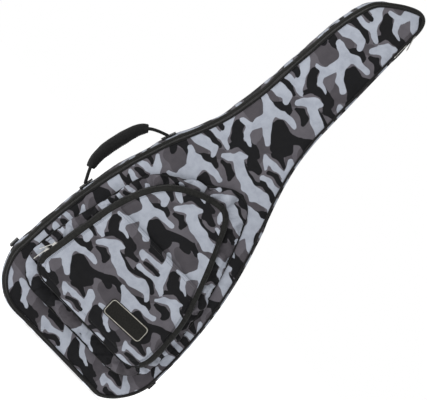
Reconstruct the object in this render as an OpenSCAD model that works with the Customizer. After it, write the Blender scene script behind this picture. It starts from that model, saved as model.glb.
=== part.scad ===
// Padded gig bag for a solid-body electric guitar, standing upright on its
// flat bottom. X is the bag's width, Y its depth (the lid and pocket face -Y,
// the shoulder straps +Y) and Z its length, neck end up. The origin is on the
// bottom face. All sizes in millimetres.

/* [Bag outline] */
// Length of the bag from the bottom face to the tip
bag_l = 1089; // [1040:1:1140]
// Half width of the lower bout on the hinge side
bout_r = 217; // [205:1:225]
// Half width of the lower bout on the zip side
bout_l = 213; // [202:1:222]
// Half width of the neck tube on the hinge side
neck_r = 75; // [68:1:80]
// Half width of the neck tube on the zip side
neck_l = 93; // [86:1:98]
// Height at which the shoulders run into the neck tube
neck_z = 755; // [730:1:780]
// Height of the steepest point of the shoulders
shoulder_z = 518; // [500:1:530]

/* [Depth] */
// Depth of the closed bag without the pocket
bag_d = 100; // [96:1:110]
// How far the front panel is set in from the widest line of the side wall
front_inset = 13; // [12:0.5:13]
// Depth from the front face back to the line where the zip parts
zip_depth = 16; // [16:0.5:18]

/* [Padding] */
// Thickness of the outer cloth with its backing
cover_t = 2.5; // [1.5:0.1:2.5]
// Thickness of the foam in the side wall
side_foam_t = 11; // [8:0.5:11]
// Thickness of the foam in the back panel
back_foam_t = 12.6; // [8:0.1:13]

/* [Pocket] */
// Depth of the accessory pocket in front of the lid
pocket_d = 40; // [38:1:44]
// Height of the open-topped slip pocket's mouth
slip_z = 323; // [280:1:340]
// Width of the blank badge
badge_w = 106; // [80:1:110]
// Height of the blank badge
badge_h = 36; // [28:1:38]

/* [Handle and straps] */
// Height of the side handle's lower anchor
handle_z0 = 303; // [295:1:310]
// Height of the side handle's upper anchor
handle_z1 = 504; // [500:1:510]
// Diameter of the padded grip
grip_d = 31; // [26:1:33]
// Width of the padded shoulder straps
strap_w = 60; // [50:1:66]
// How far the shoulder straps arch out behind the back panel
strap_arch = 26; // [10:1:34]

/* [Zips] */
// Length of a slider body
slider_l = 13; // [10:1:13]
// Length of a puller from its pivot
puller_l = 34; // [26:1:36]

/* [Hidden] */

camo = [0.46, 0.45, 0.48];
trim = [0.12, 0.12, 0.12];
foam = [0.32, 0.33, 0.35];
lining = [0.20, 0.20, 0.22];
metal = [0.72, 0.72, 0.70];
g = 0.3;                       // clearance between neighbouring pieces

y_front = -bag_d/2;            // front face of the lid
y_back = bag_d/2;              // outer face of the back panel
y_zip = y_front + zip_depth;   // line where lid and shell part
foam_y0 = y_back - cover_t - g - back_foam_t;
lin_y0 = foam_y0 - g - 1;      // inner face of the back lining
y_flap = y_front - pocket_d;   // front face of the pocket flap
y_pzip = y_flap + 11.5;        // line where the pocket zip parts

// ---- outlines ---------------------------------------------------------
function bez(a, b, c, d, n) = [for (i = [0:n-1]) let (t = i/n, u = 1-t)
  u*u*u*a + 3*u*u*t*b + 3*u*t*t*c + t*t*t*d];

// Counter-clockwise outline of the bag at its widest line
function bag_outline() = concat(
  [[-118, 0]],
  bez([140, 0], [158, 0], [bout_r-9, 32], [bout_r, 105], 8),
  bez([bout_r, 105], [bout_r, 255], [196, shoulder_z-140], [137, shoulder_z], 9),
  bez([137, shoulder_z], [99, shoulder_z+90], [neck_r+4.5, neck_z-90], [neck_r, neck_z], 7),
  [[neck_r, neck_z]],
  bez([61, bag_l-44], [58.5, bag_l-14], [50, bag_l], [31, bag_l], 6),
  bez([31, bag_l], [10, bag_l], [-38, bag_l-33], [-58, bag_l-56], 6),
  bez([-58, bag_l-56], [-73, bag_l-73], [-86, bag_l-139], [5-neck_l, bag_l-188], 6),
  bez([5-neck_l, bag_l-188], [4-neck_l, bag_l-230], [-neck_l, neck_z+60], [-neck_l, neck_z], 3),
  bez([-neck_l, neck_z], [-neck_l-4, neck_z-90], [-107, shoulder_z+90], [-147, shoulder_z], 7),
  bez([-147, shoulder_z], [-196, shoulder_z-140], [-bout_l, 255], [-bout_l, 105], 9),
  bez([-bout_l, 105], [4-bout_l, 34], [-152, 0], [-118, 0], 8));

// Where the pocket's side wall is sewn to the lid
function pocket_base_outline() = concat(
  [[-115, 66]],
  bez([105, 66], [150, 66], [180, 100], [180, 150], 6),
  bez([180, 150], [180, 190], [176, 225], [168, 270], 3),
  bez([168, 270], [155, 340], [120, 440], [88, 498], 6),
  bez([88, 498], [76, 518], [62, 528], [42, 528], 4),
  bez([42, 528], [25, 528], [10, 517], [-6, 503], 3),
  bez([-6, 503], [-38, 474], [-90, 455], [-118, 425], 4),
  bez([-118, 425], [-138, 400], [-142, 370], [-150, 320], 4),
  bez([-150, 320], [-160, 270], [-179, 210], [-181, 150], 5),
  bez([-181, 150], [-181, 100], [-158, 66], [-115, 66], 6));

// Outer line of the pocket's flap, straight along the zip on the -X side
function flap_outline() = concat(
  [[-112, 97]],
  bez([108, 97], [145, 97], [166, 115], [166, 152], 6),
  bez([166, 152], [166, 195], [162, 235], [151, 268], 3),
  bez([151, 268], [135, 315], [95, 410], [68, 455], 6),
  bez([68, 455], [57, 473], [46, 484], [30, 484], 4),
  bez([30, 484], [-20, 480], [-78, 446], [-103, 405], 6),
  bez([-103, 405], [-122, 374], [-130, 345], [-140, 300], 4),
  bez([-140, 300], [-147.5, 243], [-153.5, 197], [-161, 140], 1),
  bez([-161, 140], [-163, 115], [-145, 97], [-112, 97], 5));

function unit(v) = v/norm(v);
function edge_n(a, b) = let (e = unit(b-a)) [e[1], -e[0]];
// Moves a closed outline inward by d along its mitred normals
function inset(p, d) = let (n = len(p)) [for (i = [0:n-1])
  let (a = edge_n(p[(i+n-1)%n], p[i]), b = edge_n(p[i], p[(i+1)%n]))
  p[i] - d*(a+b)/(1+a*b)];

S = bag_outline();
PB = pocket_base_outline();
PF = flap_outline();
function bag(d) = inset(S, d);
function frn(d) = inset(S, front_inset+d);

// ---- building blocks --------------------------------------------------
// Plate or ring standing in the XZ plane between two depths
module slab(y0, y1) {
  translate([0, y1, 0]) rotate([90, 0, 0]) linear_extrude(y1-y0) children();
}
module plate(p, y0, y1) { slab(y0, y1) polygon(p); }
module band(po, pi, y0, y1) {
  slab(y0, y1) difference() { polygon(po); polygon(pi); }
}
// The hinge side of the outline, where there is no zip
module hinge_zone() { translate([0, 112]) square([400, bag_l-112-124]); }

// Offset of a path to one side, as a closed strip of constant thickness
function path_n(p, i) = let (n = len(p),
  e = unit(p[min(i+1, n-1)] - p[max(i-1, 0)])) [e[1], -e[0]];
function strip(p, w) = concat(
  [for (i = [0:len(p)-1]) p[i] + path_n(p, i)*w/2],
  [for (i = [len(p)-1:-1:0]) p[i] - path_n(p, i)*w/2]);

// ---- shell ------------------------------------------------------------
module side_cover() {
  color(camo) difference() {
    union() {
      plate(frn(0), y_zip+5, -19);
      plate(bag(0), -21, 42);
      plate(bag(8), 41, y_back);
    }
    plate(frn(cover_t), y_zip+4, -18);
    plate(bag(cover_t), -21+cover_t, 42-cover_t);
    plate(bag(8+cover_t), 39, y_back+1);
  }
}
module side_foam() {
  color(foam) band(bag(cover_t+g), bag(cover_t+g+side_foam_t), -18.2, 39.2);
}
module side_lining() {
  color(lining) band(bag(cover_t+2*g+side_foam_t), bag(cover_t+2*g+side_foam_t+1.2), -18.2, lin_y0-g);
}
module back_cover() { color(camo) plate(bag(8+cover_t+g), y_back-cover_t, y_back); }
module back_foam() { color(foam) plate(bag(14.1), foam_y0, foam_y0+back_foam_t); }
module back_lining() { color(lining) plate(bag(14.1), lin_y0, lin_y0+1); }
module rear_piping() { color(trim) band(bag(4.2), bag(7.7), 42.3, 46.5); }
module shell_zip_tape() {
  color(trim) slab(y_zip+3.2, -21.3) difference() {
    polygon(frn(-1.3)); polygon(frn(-0.3)); hinge_zone();
  }
}
module shell_zip_coil() {
  color(trim) slab(y_zip+0.75, y_zip+3) difference() {
    polygon(frn(-2.6)); polygon(frn(-0.6)); hinge_zone();
  }
}
// Cloth that carries the lid along the side with no zip
module hinge_gusset() {
  color(camo) slab(y_zip-1, -21.3) intersection() {
    difference() { polygon(frn(-1.5)); polygon(frn(-0.3)); }
    translate([0, 113]) square([400, bag_l-114-124]);
  }
}
module neck_cradle() {
  color(foam) difference() {
    translate([-76, -24, 640]) cube([140, lin_y0-g+24, 46]);
    translate([-45, -25, 630]) cube([76, 27, 66]);
  }
}
module neck_strap() { color(trim) translate([-74, -26.5, 650]) cube([136, 2.2, 26]); }
module headstock_pad() {
  color(foam) slab(-12, lin_y0-g) intersection() {
    polygon(bag(16.5));
    translate([-200, bag_l-84]) square([400, 100]);
  }
}
module base_pad() {
  color(foam) translate([-105, -16, 16.2]) cube([225, 46, 12]);
}
module strap_yoke() {
  color(trim) slab(y_back+g, y_back+2.3)
    polygon([[-70, 588], [64, 588], [48, 676], [-54, 676]]);
}

// Padded strap: a plan outline cut out of an arched band
module padded_strap() {
  c = bez([-36, 662], [-60, 560], [-118, 470], [-112, 380], 8);
  d = concat(c, bez([-112, 380], [-109, 335], [-105, 300], [-100, 252], 4), [[-100, 252]]);
  arch = [for (i = [0:14]) let (t = i/14)
    [58 + strap_arch*sin(180*t)*sin(180*t), 668 - t*420]];
  intersection() {
    slab(40, 140) polygon(strip(d, strap_w));
    translate([-160, 0, 0]) rotate([90, 0, 90]) linear_extrude(320) polygon(strip(arch, 10.5));
  }
}
module shoulder_strap_left() { color(trim) padded_strap(); }
module shoulder_strap_right() { color(trim) translate([-6, 0, 0]) mirror([1, 0, 0]) padded_strap(); }
module webbing(xe) {
  c = concat(bez([-102, 246], [-106, 200], [-140, 165], [xe, 117], 6), [[xe, 117]]);
  slab(51.2, 53) polygon(strip(c, 25));
}
module strap_webbing_left() { color(trim) webbing(-182); }
module strap_webbing_right() { color(trim) translate([-6, 0, 0]) mirror([1, 0, 0]) webbing(-192); }
module ladder_lock() {
  translate([-101, 0, 232]) slab(53.4, 58) difference() {
    square([34, 26], center = true);
    translate([0, 7]) square([26, 4], center = true);
    translate([0, -1]) square([26, 4], center = true);
    translate([0, -8.5]) square([26, 3.5], center = true);
  }
}
module ladder_locks() {
  color([0.09, 0.09, 0.09]) { ladder_lock(); translate([-6, 0, 0]) mirror([1, 0, 0]) ladder_lock(); }
}
module anchor_tab(x) {
  // folded webbing, round the corner from the side wall to the back
  translate([0, 0, 91]) linear_extrude(21) polygon([
    [x-4.4, 8], [x-0.5, 8], [x-0.5, 51], [x+26, 51], [x+26, 54.6], [x-4.4, 54.6]]);
}
module lower_anchor_tabs() {
  color(trim) { anchor_tab(-bout_l-0.3); mirror([1, 0, 0]) anchor_tab(-bout_r-0.3); }
}

// ---- side handle ------------------------------------------------------
function side_x(z) = // widest line on the zip side, by linear search
  max([for (i = [0:len(S)-1]) let (a = S[i], b = S[(i+1)%len(S)])
    a[0] < -60 && b[0] < -60 && b[1] <= z && a[1] > z ?
    -(a[0] + (b[0]-a[0])*(a[1]-z)/(a[1]-b[1])) : 0]);
hx0 = -side_x(handle_z0);
hx1 = -side_x(handle_z1);
y_handle = 8;
module anchor_patch(x, z) {
  // lies along the side wall's own slope
  a = atan2(side_x(z-17)-side_x(z+17), 34);
  translate([x, y_handle, z]) rotate([0, a, 0]) translate([-2.9, -17, -17]) cube([1.6, 34, 34]);
}
module handle_anchor_patches() {
  color(trim) { anchor_patch(hx0, handle_z0); anchor_patch(hx1, handle_z1); }
}
function handle_path() = concat(
  bez([hx0-9, handle_z0+2], [hx0-18, handle_z0+14], [hx0-27, handle_z0+28], [hx0-28, handle_z0+54], 5),
  bez([hx0-28, handle_z0+54], [hx0-29, handle_z0+90], [hx1-69, handle_z1-60], [hx1-64, handle_z1-36], 5),
  bez([hx1-64, handle_z1-36], [hx1-58, handle_z1-8], [hx1-30, handle_z1-8], [hx1-9, handle_z1-2], 5),
  [[hx1-9, handle_z1-2]]);
module side_handle_webbing() {
  p = handle_path();
  n = len(p);
  color(trim) translate([0, y_handle, 0]) difference() {
    union() {
      slab(-3, 3) polygon(strip(p, 3));
      slab(-10, 10) polygon(strip([for (i = [3:n-4]) p[i]], 3));
    }
  }
}
module side_handle_grip() {
  a = [hx0-28, handle_z0+42];
  b = [hx1-66.5, handle_z1-34];
  l = norm(b-a);
  color([0.08, 0.08, 0.08]) translate([a[0], y_handle, a[1]])
    rotate([0, atan2(b[0]-a[0], b[1]-a[1]), 0]) difference() {
      cylinder(h = l, d = grip_d, $fn = 48);
      translate([-6, -10.5, -1]) cube([12, 21, l+2]);
    }
}

// ---- hang loop --------------------------------------------------------
loop_x = -8;
loop_z = bag_l-62;
module hang_loop_patches() {
  color(trim) for (z = [loop_z-28, loop_z+28])
    translate([loop_x-9, y_back+g, z-7]) cube([18, 1.7, 14]);
}
module hang_loop() {
  p = concat(bez([56.5, loop_z-28], [76, loop_z-26], [80, loop_z-14], [80, loop_z], 5),
             bez([80, loop_z], [80, loop_z+14], [76, loop_z+26], [56.5, loop_z+28], 5),
             [[56.5, loop_z+28]]);
  color(trim) union() {
    translate([loop_x-3, 0, 0]) rotate([90, 0, 90]) linear_extrude(6) polygon(strip(p, 2.4));
    translate([loop_x-9, 0, 0]) rotate([90, 0, 90]) linear_extrude(18)
      polygon(strip([for (i = [3:7]) p[i]], 2.4));
  }
}

// ---- lid --------------------------------------------------------------
module lid_cover() {
  color(camo) difference() {
    plate(frn(0), y_front, y_zip-5);
    plate(frn(cover_t), y_front+cover_t, y_zip);
  }
}
module lid_foam() { color(foam) plate(frn(cover_t+g), y_front+cover_t+g, y_zip-4); }
module lid_lining() { color(lining) plate(frn(cover_t+g), y_zip-3.7, y_zip-2.5); }
module front_piping() { color(trim) band(frn(-4), frn(-0.3), y_front-1, y_front+3); }
module lid_zip_tape() {
  color(trim) slab(y_front+3.4, y_zip-3.2) difference() {
    polygon(frn(-1.3)); polygon(frn(-0.3)); hinge_zone();
  }
}
module lid_zip_coil() {
  color(trim) slab(y_zip-3, y_zip-0.75) difference() {
    polygon(frn(-2.6)); polygon(frn(-0.6)); hinge_zone();
  }
}

// ---- pocket -----------------------------------------------------------
// The bottom of the flap is its hinge, so the zip stops short of it
module pocket_zip_zone() { translate([-300, 116]) square([600, 400]); }
module pocket_side() {
  color(camo) difference() {
    union() {
      plate(PB, y_front-16, y_front-g);
      plate(PF, y_pzip+4.5, y_front-15);
    }
    plate(inset(PB, 2), y_front-14, y_front);
    plate(inset(PF, 2), y_pzip, y_front-13);
  }
}
module pocket_rim_tape() {
  color(trim) slab(y_pzip+2.8, y_front-16.3) intersection() {
    difference() { polygon(inset(PF, -1.3)); polygon(inset(PF, -0.3)); }
    pocket_zip_zone();
  }
}
module pocket_rim_coil() {
  color(trim) slab(y_pzip+0.6, y_pzip+2.6) intersection() {
    difference() { polygon(inset(PF, -2.4)); polygon(inset(PF, -0.5)); }
    pocket_zip_zone();
  }
}
module pocket_organizer() {
  color(lining) translate([-112, y_front-3.4, 92]) cube([224, 1.8, 140]);
}
// Cloth that carries the flap along its bottom edge
module pocket_hinge_binding() {
  color(camo) translate([-108, y_pzip-0.5, 95.3]) cube([212, 11, 1.4]);
}
module flap_panel() {
  color(camo) difference() {
    plate(PF, y_flap, y_pzip-4.5);
    plate(inset(PF, 2), y_flap+2, y_pzip);
  }
}
module flap_padding() { color(foam) plate(inset(PF, 2.3), y_flap+2.3, y_pzip-4.9); }
module flap_zip_tape() {
  color(trim) slab(y_flap+0.5, y_pzip-2.8) intersection() {
    difference() { polygon(inset(PF, -1.3)); polygon(inset(PF, -0.3)); }
    pocket_zip_zone();
  }
}
module flap_zip_coil() {
  color(trim) slab(y_pzip-2.6, y_pzip-0.6) intersection() {
    difference() { polygon(inset(PF, -2.4)); polygon(inset(PF, -0.5)); }
    pocket_zip_zone();
  }
}
module slip_pocket() {
  color(camo) slab(y_flap-2.2, y_flap-g) intersection() {
    polygon(inset(PF, 13));
    translate([-300, 0]) square([600, slip_z]);
  }
}
module badge() {
  color([0.07, 0.07, 0.07]) translate([62, y_flap-2.5, 166]) rotate([0, -3.5, 0])
    slab(-2, 0) union() {
      square([badge_w-12, badge_h], center = true);
      square([badge_w, badge_h-12], center = true);
      for (x = [-1, 1], y = [-1, 1])
        translate([x*(badge_w/2-6), y*(badge_h/2-6)]) circle(r = 6, $fn = 48);
    }
}

// ---- zip sliders and pullers --------------------------------------------
// Local frame: X out of the zip, Y across it, Z along its travel. The chain
// lies at X 0.6 to 2.6 and parts at Y 0.
module slider() {
  hl = slider_l/2;
  color(metal) union() {
    translate([3.4, 0, 0]) rotate([90, 0, 90]) linear_extrude(1.2)
      polygon([[-2.4, -hl], [2.4, -hl], [3.8, hl-3], [2.6, hl], [-2.6, hl], [-3.8, hl-3]]);
    translate([-1.5, 0, 0]) rotate([90, 0, 90]) linear_extrude(1.2)
      polygon([[-2.4, -hl], [2.4, -hl], [3.6, hl-3], [2.6, hl], [-2.6, hl], [-3.6, hl-3]]);
    translate([-1, -0.45, hl-5]) cube([5, 0.9, 4]);
    translate([0, 1, 0]) rotate([90, 0, 0]) linear_extrude(2) difference() {
      polygon([[4.4, -4.2], [6.4, -4.2], [7.8, -2.4], [7.8, 2.4], [6.4, 4.2], [4.4, 4.2]]);
      translate([4.6, -2.6]) square([2.1, 5.2]);
    }
  }
}
pivot_x = 5.65;                // pivot height above the zip's own line
module puller() {
  color(metal) translate([pivot_x, 0, 0]) union() {
    translate([0, 3.2, 0]) rotate([90, 0, 0]) cylinder(h = 6.4, r = 0.75, $fn = 24);
    translate([-0.7, 0, 0]) rotate([90, 0, 90]) linear_extrude(1.4) difference() {
      union() {
        translate([-3.2, -puller_l+4]) square([6.4, puller_l-4.4]);
        translate([0, -puller_l+4.2]) circle(r = 4.2, $fn = 40);
        translate([-3.2, -0.8]) square([1.4, 1.6]);
        translate([1.8, -0.8]) square([1.4, 1.6]);
      }
      translate([-1.8, -5.6]) square([3.6, 5]);
      translate([0, -puller_l+4.2]) circle(r = 2, $fn = 32);
    }
  }
}
// Main zip: the straight run on the hinge side, just under the tip
m_dir = unit([61-neck_r, bag_l-44-neck_z]);
m_a = atan2(m_dir[0], m_dir[1]);
m_top = [61, bag_l-44] - front_inset*[m_dir[1], -m_dir[0]];
m_up = 8;                      // rest places below the top of the run
m_lo = 36;
module on_main(s) {
  translate([m_top[0]-m_dir[0]*s, y_zip, m_top[1]-m_dir[1]*s]) rotate([0, m_a, 0]) children();
}
lean_up = 16;                  // how far the upper pullers lean out at rest
module lean(a) { translate([pivot_x, 0, 0]) rotate([0, a, 0]) translate([-pivot_x, 0, 0]) children(); }
module main_slider_upper() { on_main(m_up) slider(); }
module main_puller_upper() { on_main(m_up) lean(-lean_up) puller(); }
module main_slider_lower() { on_main(m_lo) slider(); }
module main_puller_lower() { on_main(m_lo) puller(); }

// Pocket zip: the straight run on the -X side of the flap
p_dir = unit([-140, 300] - [-161, 140]);
p_a = atan2(p_dir[0], p_dir[1]);
p_up = 29;                     // rest places above the bottom of the run
p_lo = 8;
module on_pocket(s) {
  translate([-161+p_dir[0]*s, y_pzip, 140+p_dir[1]*s]) rotate([0, p_a, 0]) mirror([1, 0, 0]) children();
}
module pocket_slider_upper() { on_pocket(p_up) slider(); }
module pocket_puller_upper() { on_pocket(p_up) lean(-lean_up) puller(); }
module pocket_slider_lower() { on_pocket(p_lo) slider(); }
module pocket_puller_lower() { on_pocket(p_lo) puller(); }

side_cover();
side_foam();
side_lining();
back_cover();
back_foam();
back_lining();
rear_piping();
shell_zip_tape();
shell_zip_coil();
hinge_gusset();
neck_cradle();
neck_strap();
headstock_pad();
base_pad();
strap_yoke();
shoulder_strap_left();
shoulder_strap_right();
strap_webbing_left();
strap_webbing_right();
ladder_locks();
lower_anchor_tabs();
handle_anchor_patches();
hang_loop_patches();
lid_cover();
lid_foam();
lid_lining();
front_piping();
lid_zip_tape();
lid_zip_coil();
pocket_side();
pocket_rim_tape();
pocket_rim_coil();
pocket_organizer();
pocket_hinge_binding();
flap_panel();
flap_padding();
flap_zip_tape();
flap_zip_coil();
slip_pocket();
badge();
main_slider_upper();
main_puller_upper();
main_slider_lower();
main_puller_lower();
pocket_slider_upper();
pocket_puller_upper();
pocket_slider_lower();
pocket_puller_lower();
side_handle_webbing();
side_handle_grip();
hang_loop();
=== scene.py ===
import math
import bpy, bmesh
import numpy as np
from mathutils import Matrix, Vector
from mathutils.geometry import delaunay_2d_cdt


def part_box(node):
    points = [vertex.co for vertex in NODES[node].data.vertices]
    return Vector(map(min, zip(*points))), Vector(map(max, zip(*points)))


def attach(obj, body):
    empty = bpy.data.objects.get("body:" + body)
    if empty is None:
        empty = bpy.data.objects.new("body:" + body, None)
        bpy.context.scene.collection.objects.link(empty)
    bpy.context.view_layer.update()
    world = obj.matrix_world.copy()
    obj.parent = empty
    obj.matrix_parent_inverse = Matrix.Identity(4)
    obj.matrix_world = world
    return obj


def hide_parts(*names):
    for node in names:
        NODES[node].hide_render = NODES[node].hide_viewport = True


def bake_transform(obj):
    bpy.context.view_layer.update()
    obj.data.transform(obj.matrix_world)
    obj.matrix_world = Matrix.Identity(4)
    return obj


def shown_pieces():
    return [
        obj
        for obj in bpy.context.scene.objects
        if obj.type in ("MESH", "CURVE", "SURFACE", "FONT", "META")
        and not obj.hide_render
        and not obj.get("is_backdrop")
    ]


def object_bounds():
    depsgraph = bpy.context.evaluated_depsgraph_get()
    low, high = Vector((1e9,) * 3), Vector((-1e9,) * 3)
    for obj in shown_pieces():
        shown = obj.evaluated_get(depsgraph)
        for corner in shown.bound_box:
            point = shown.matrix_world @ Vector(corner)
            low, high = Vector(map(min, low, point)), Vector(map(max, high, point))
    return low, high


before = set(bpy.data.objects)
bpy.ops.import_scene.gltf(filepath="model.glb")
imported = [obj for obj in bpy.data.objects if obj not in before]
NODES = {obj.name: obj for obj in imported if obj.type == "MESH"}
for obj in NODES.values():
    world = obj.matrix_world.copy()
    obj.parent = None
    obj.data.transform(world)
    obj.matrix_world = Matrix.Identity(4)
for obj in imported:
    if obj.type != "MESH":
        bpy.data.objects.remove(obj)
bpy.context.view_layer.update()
SC = bpy.context.scene
MM = 0.001


def cad(node):
    lo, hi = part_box(node)
    return np.array(lo) * 1000.0, np.array(hi) * 1000.0


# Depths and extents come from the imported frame, in mm
LID_LO, LID_HI = cad("lid_cover")
SIDE_LO, SIDE_HI = cad("side_cover")
Y_FRONT = LID_LO[1]                 # front face of the lid
Y_BACK = SIDE_HI[1]                 # back face of the shell
Y_ZIP = (cad("lid_zip_coil")[1][1] + cad("shell_zip_coil")[0][1]) / 2
Y_FLAP = cad("flap_panel")[0][1]
Y_PZIP = (cad("flap_zip_coil")[1][1] + cad("pocket_rim_coil")[0][1]) / 2
BAG_L = SIDE_HI[2]
FI = (SIDE_HI[0] - LID_HI[0])       # front panel's inset from the widest line

# ------------------------------------------------------------------ maths


def bez(a, b, c, d, n=40):
    t = np.linspace(0, 1, n, endpoint=False)[:, None]
    u = 1 - t
    a, b, c, d = (np.array(v, float) for v in (a, b, c, d))
    return u**3 * a + 3 * u * u * t * b + 3 * u * t * t * c + t**3 * d


def resample(p, n, closed=True, sig=0.0):
    p = np.asarray(p, float)
    q = np.vstack([p, p[:1]]) if closed else p
    s = np.r_[0, np.cumsum(np.linalg.norm(np.diff(q, axis=0), axis=1))]
    keep = np.r_[True, np.diff(s) > 1e-9]
    q, s = q[keep], s[keep]
    t = np.linspace(0, s[-1], n, endpoint=not closed)
    out = np.stack([np.interp(t, s, q[:, k]) for k in range(q.shape[1])], 1)
    if sig > 0 and closed:
        f = np.fft.rfftfreq(n, d=s[-1] / n)
        g = np.exp(-2 * (math.pi * f * sig) ** 2)
        out = np.stack([np.fft.irfft(np.fft.rfft(out[:, k]) * g, n) for k in range(out.shape[1])], 1)
    return out


def normals2(p):
    t = np.roll(p, -1, 0) - np.roll(p, 1, 0)
    t /= np.linalg.norm(t, axis=1)[:, None]
    return np.stack([t[:, 1], -t[:, 0]], 1)


def arclen(p, closed=True):
    d = np.linalg.norm(np.roll(p, -1, 0) - p, axis=1)
    return np.r_[0, np.cumsum(d)[:-1]]


def field(p, lam, seed, k=22, aniso=None):
    """Smooth seeded random field of about unit size: a sum of plane waves of wavelength near lam."""
    r = np.random.default_rng(seed)
    p = np.asarray(p, float)
    dim = p.shape[1]
    d = r.normal(size=(k, dim))
    d /= np.linalg.norm(d, axis=1)[:, None]
    if aniso is not None:
        d = d * np.array(aniso)
    w = 2 * math.pi / (lam * r.uniform(0.65, 1.6, k))
    ph = r.uniform(0, 2 * math.pi, k)
    out = np.zeros(len(p))
    for i in range(k):
        out += np.sin(p @ d[i] * w[i] + ph[i])
    return out / math.sqrt(k / 2)


def inside(g, b):
    x, z = g[:, 0], g[:, 1]
    out = np.zeros(len(g), bool)
    x0, z0 = b[:, 0], b[:, 1]
    x1, z1 = np.roll(x0, -1), np.roll(z0, -1)
    for i in range(len(b)):
        if z0[i] == z1[i]:
            continue
        m = (z0[i] > z) != (z1[i] > z)
        out ^= m & (x < (x1[i] - x0[i]) * (z - z0[i]) / (z1[i] - z0[i]) + x0[i])
    return out


def seg_dist(g, b, closed=True):
    """Distance to a polyline and the arclength of the nearest point on it."""
    a = b if closed else b[:-1]
    c = np.roll(b, -1, 0) if closed else b[1:]
    v = c - a
    l2 = (v * v).sum(1) + 1e-12
    s0 = np.r_[0, np.cumsum(np.sqrt(l2))[:-1]]
    dist, arc = np.zeros(len(g)), np.zeros(len(g))
    for k in range(0, len(g), 1500):
        w = g[k:k + 1500, None, :] - a[None]
        t = np.clip((w * v[None]).sum(2) / l2[None], 0, 1)
        q = w - t[..., None] * v[None]
        d2 = (q * q).sum(2)
        j = d2.argmin(1)
        r = np.arange(len(j))
        dist[k:k + 1500] = np.sqrt(d2[r, j])
        arc[k:k + 1500] = s0[j] + t[r, j] * np.sqrt(l2[j])
    return dist, arc


def cdt(b, h, holes=()):
    """Even triangles inside a closed outline; the outline's own points come first."""
    lo, hi = b.min(0), b.max(0)
    xs, zs = np.arange(lo[0] + h * 0.3, hi[0], h), np.arange(lo[1] + h * 0.3, hi[1], h * 0.866)
    X, Z = np.meshgrid(xs, zs)
    X[1::2] += h / 2
    g = np.c_[X.ravel(), Z.ravel()]
    g = g[inside(g, b)]
    g = g[seg_dist(g, b)[0] > 0.62 * h]
    for o in holes:
        g = g[~inside(g, o)]
        g = g[seg_dist(g, o)[0] > 0.62 * h]
    pts = np.vstack([b, *holes, g])
    edges, base = [], 0
    for loop in (b, *holes):
        n = len(loop)
        edges += [(base + i, base + (i + 1) % n) for i in range(n)]
        base += n
    r = delaunay_2d_cdt([Vector(p) for p in pts], edges, [], 0, 1e-6)
    v = np.array([tuple(p) for p in r[0]])
    f = np.array([t for t in r[2] if len(t) == 3], int)
    if len(v) != len(pts):
        raise RuntimeError("cdt merged points")
    c = v[f].mean(1)
    keep = inside(c, b)
    for o in holes:
        keep &= ~inside(c, o)
    f = f[keep]
    # all faces turned the same way
    a, bb, cc = v[f[:, 0]], v[f[:, 1]], v[f[:, 2]]
    s = (bb[:, 0] - a[:, 0]) * (cc[:, 1] - a[:, 1]) - (bb[:, 1] - a[:, 1]) * (cc[:, 0] - a[:, 0])
    f[s < 0] = f[s < 0][:, ::-1]
    return v, f


def ring_faces(rows, n, wrap=True, base=0):
    """Quads between consecutive rows of n points each."""
    i = np.arange(n if wrap else n - 1)
    j = (i + 1) % n
    out = []
    for k in range(rows - 1):
        a, b = base + k * n, base + (k + 1) * n
        out.append(np.stack([a + i, a + j, b + j, b + i], 1))
    return np.vstack(out)


# -------------------------------------------------------------- mesh making

MATS = {}


def smooth_all(me):
    me.polygons.foreach_set("use_smooth", np.ones(len(me.polygons), bool))


def mesh_object(name, v, faces, mat=None, rc=None, smooth=True, cloth=None):
    """v in mm, faces a list of index arrays, rc the cloth's own coordinates in mm, cloth where the print falls."""
    me = bpy.data.meshes.new(name)
    fl = []
    for f in faces:
        fl += f.tolist() if isinstance(f, np.ndarray) else [list(x) for x in f]
    me.from_pydata((np.asarray(v) * MM).tolist(), [], fl)
    me.validate()
    if rc is not None:
        at = me.attributes.new("rc", "FLOAT_VECTOR", "POINT")
        at.data.foreach_set("vector", (np.asarray(rc, float) * MM).astype(np.float32).ravel())
    if mat == "camo":
        q = np.asarray(cloth, float) if cloth is not None else np.stack([rc[:, 0] + 0.37 * rc[:, 2], rc[:, 1]], 1)
        s = print_at(q)
        at = me.attributes.new("pl", "FLOAT_VECTOR", "POINT")
        at.data.foreach_set("vector", (s[:, :3] * MM).astype(np.float32).ravel())
        at = me.attributes.new("po", "FLOAT", "POINT")
        at.data.foreach_set("value", (s[:, 3] * MM).astype(np.float32))
    if smooth:
        smooth_all(me)
    ob = bpy.data.objects.new(name, me)
    SC.collection.objects.link(ob)
    if mat:
        me.materials.append(MATS[mat])
    return ob


def add_mod(ob, kind, **kw):
    m = ob.modifiers.new(kind.title(), kind)
    for k, val in kw.items():
        setattr(m, k, val)
    return m


def solidify(ob, t, offset=-1.0):
    return add_mod(ob, "SOLIDIFY", thickness=t * MM, offset=offset, use_even_offset=False, use_rim=True)


def place(ob, body, reps=()):
    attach(ob, body)
    if reps:
        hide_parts(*reps)
    return ob


def frames(path, up=None, closed=False):
    """Tangent, side and normal along a 3-D path; up is the wanted normal, or it is carried along."""
    p = np.asarray(path, float)
    if closed:
        t = np.roll(p, -1, 0) - np.roll(p, 1, 0)
    else:
        t = np.gradient(p, axis=0)
    t /= np.linalg.norm(t, axis=1)[:, None]
    if up is None:
        up = np.zeros_like(p)
        u = np.cross(t[0], [0.3, 0.9, 0.31])
        for i in range(len(p)):
            u = u - (u @ t[i]) * t[i]
            u /= np.linalg.norm(u)
            up[i] = u
    else:
        up = np.broadcast_to(np.asarray(up, float), p.shape)
        up = up - (up * t).sum(1)[:, None] * t
        up = up / np.linalg.norm(up, axis=1)[:, None]
    side = np.cross(t, up)
    return t, side, up


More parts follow.
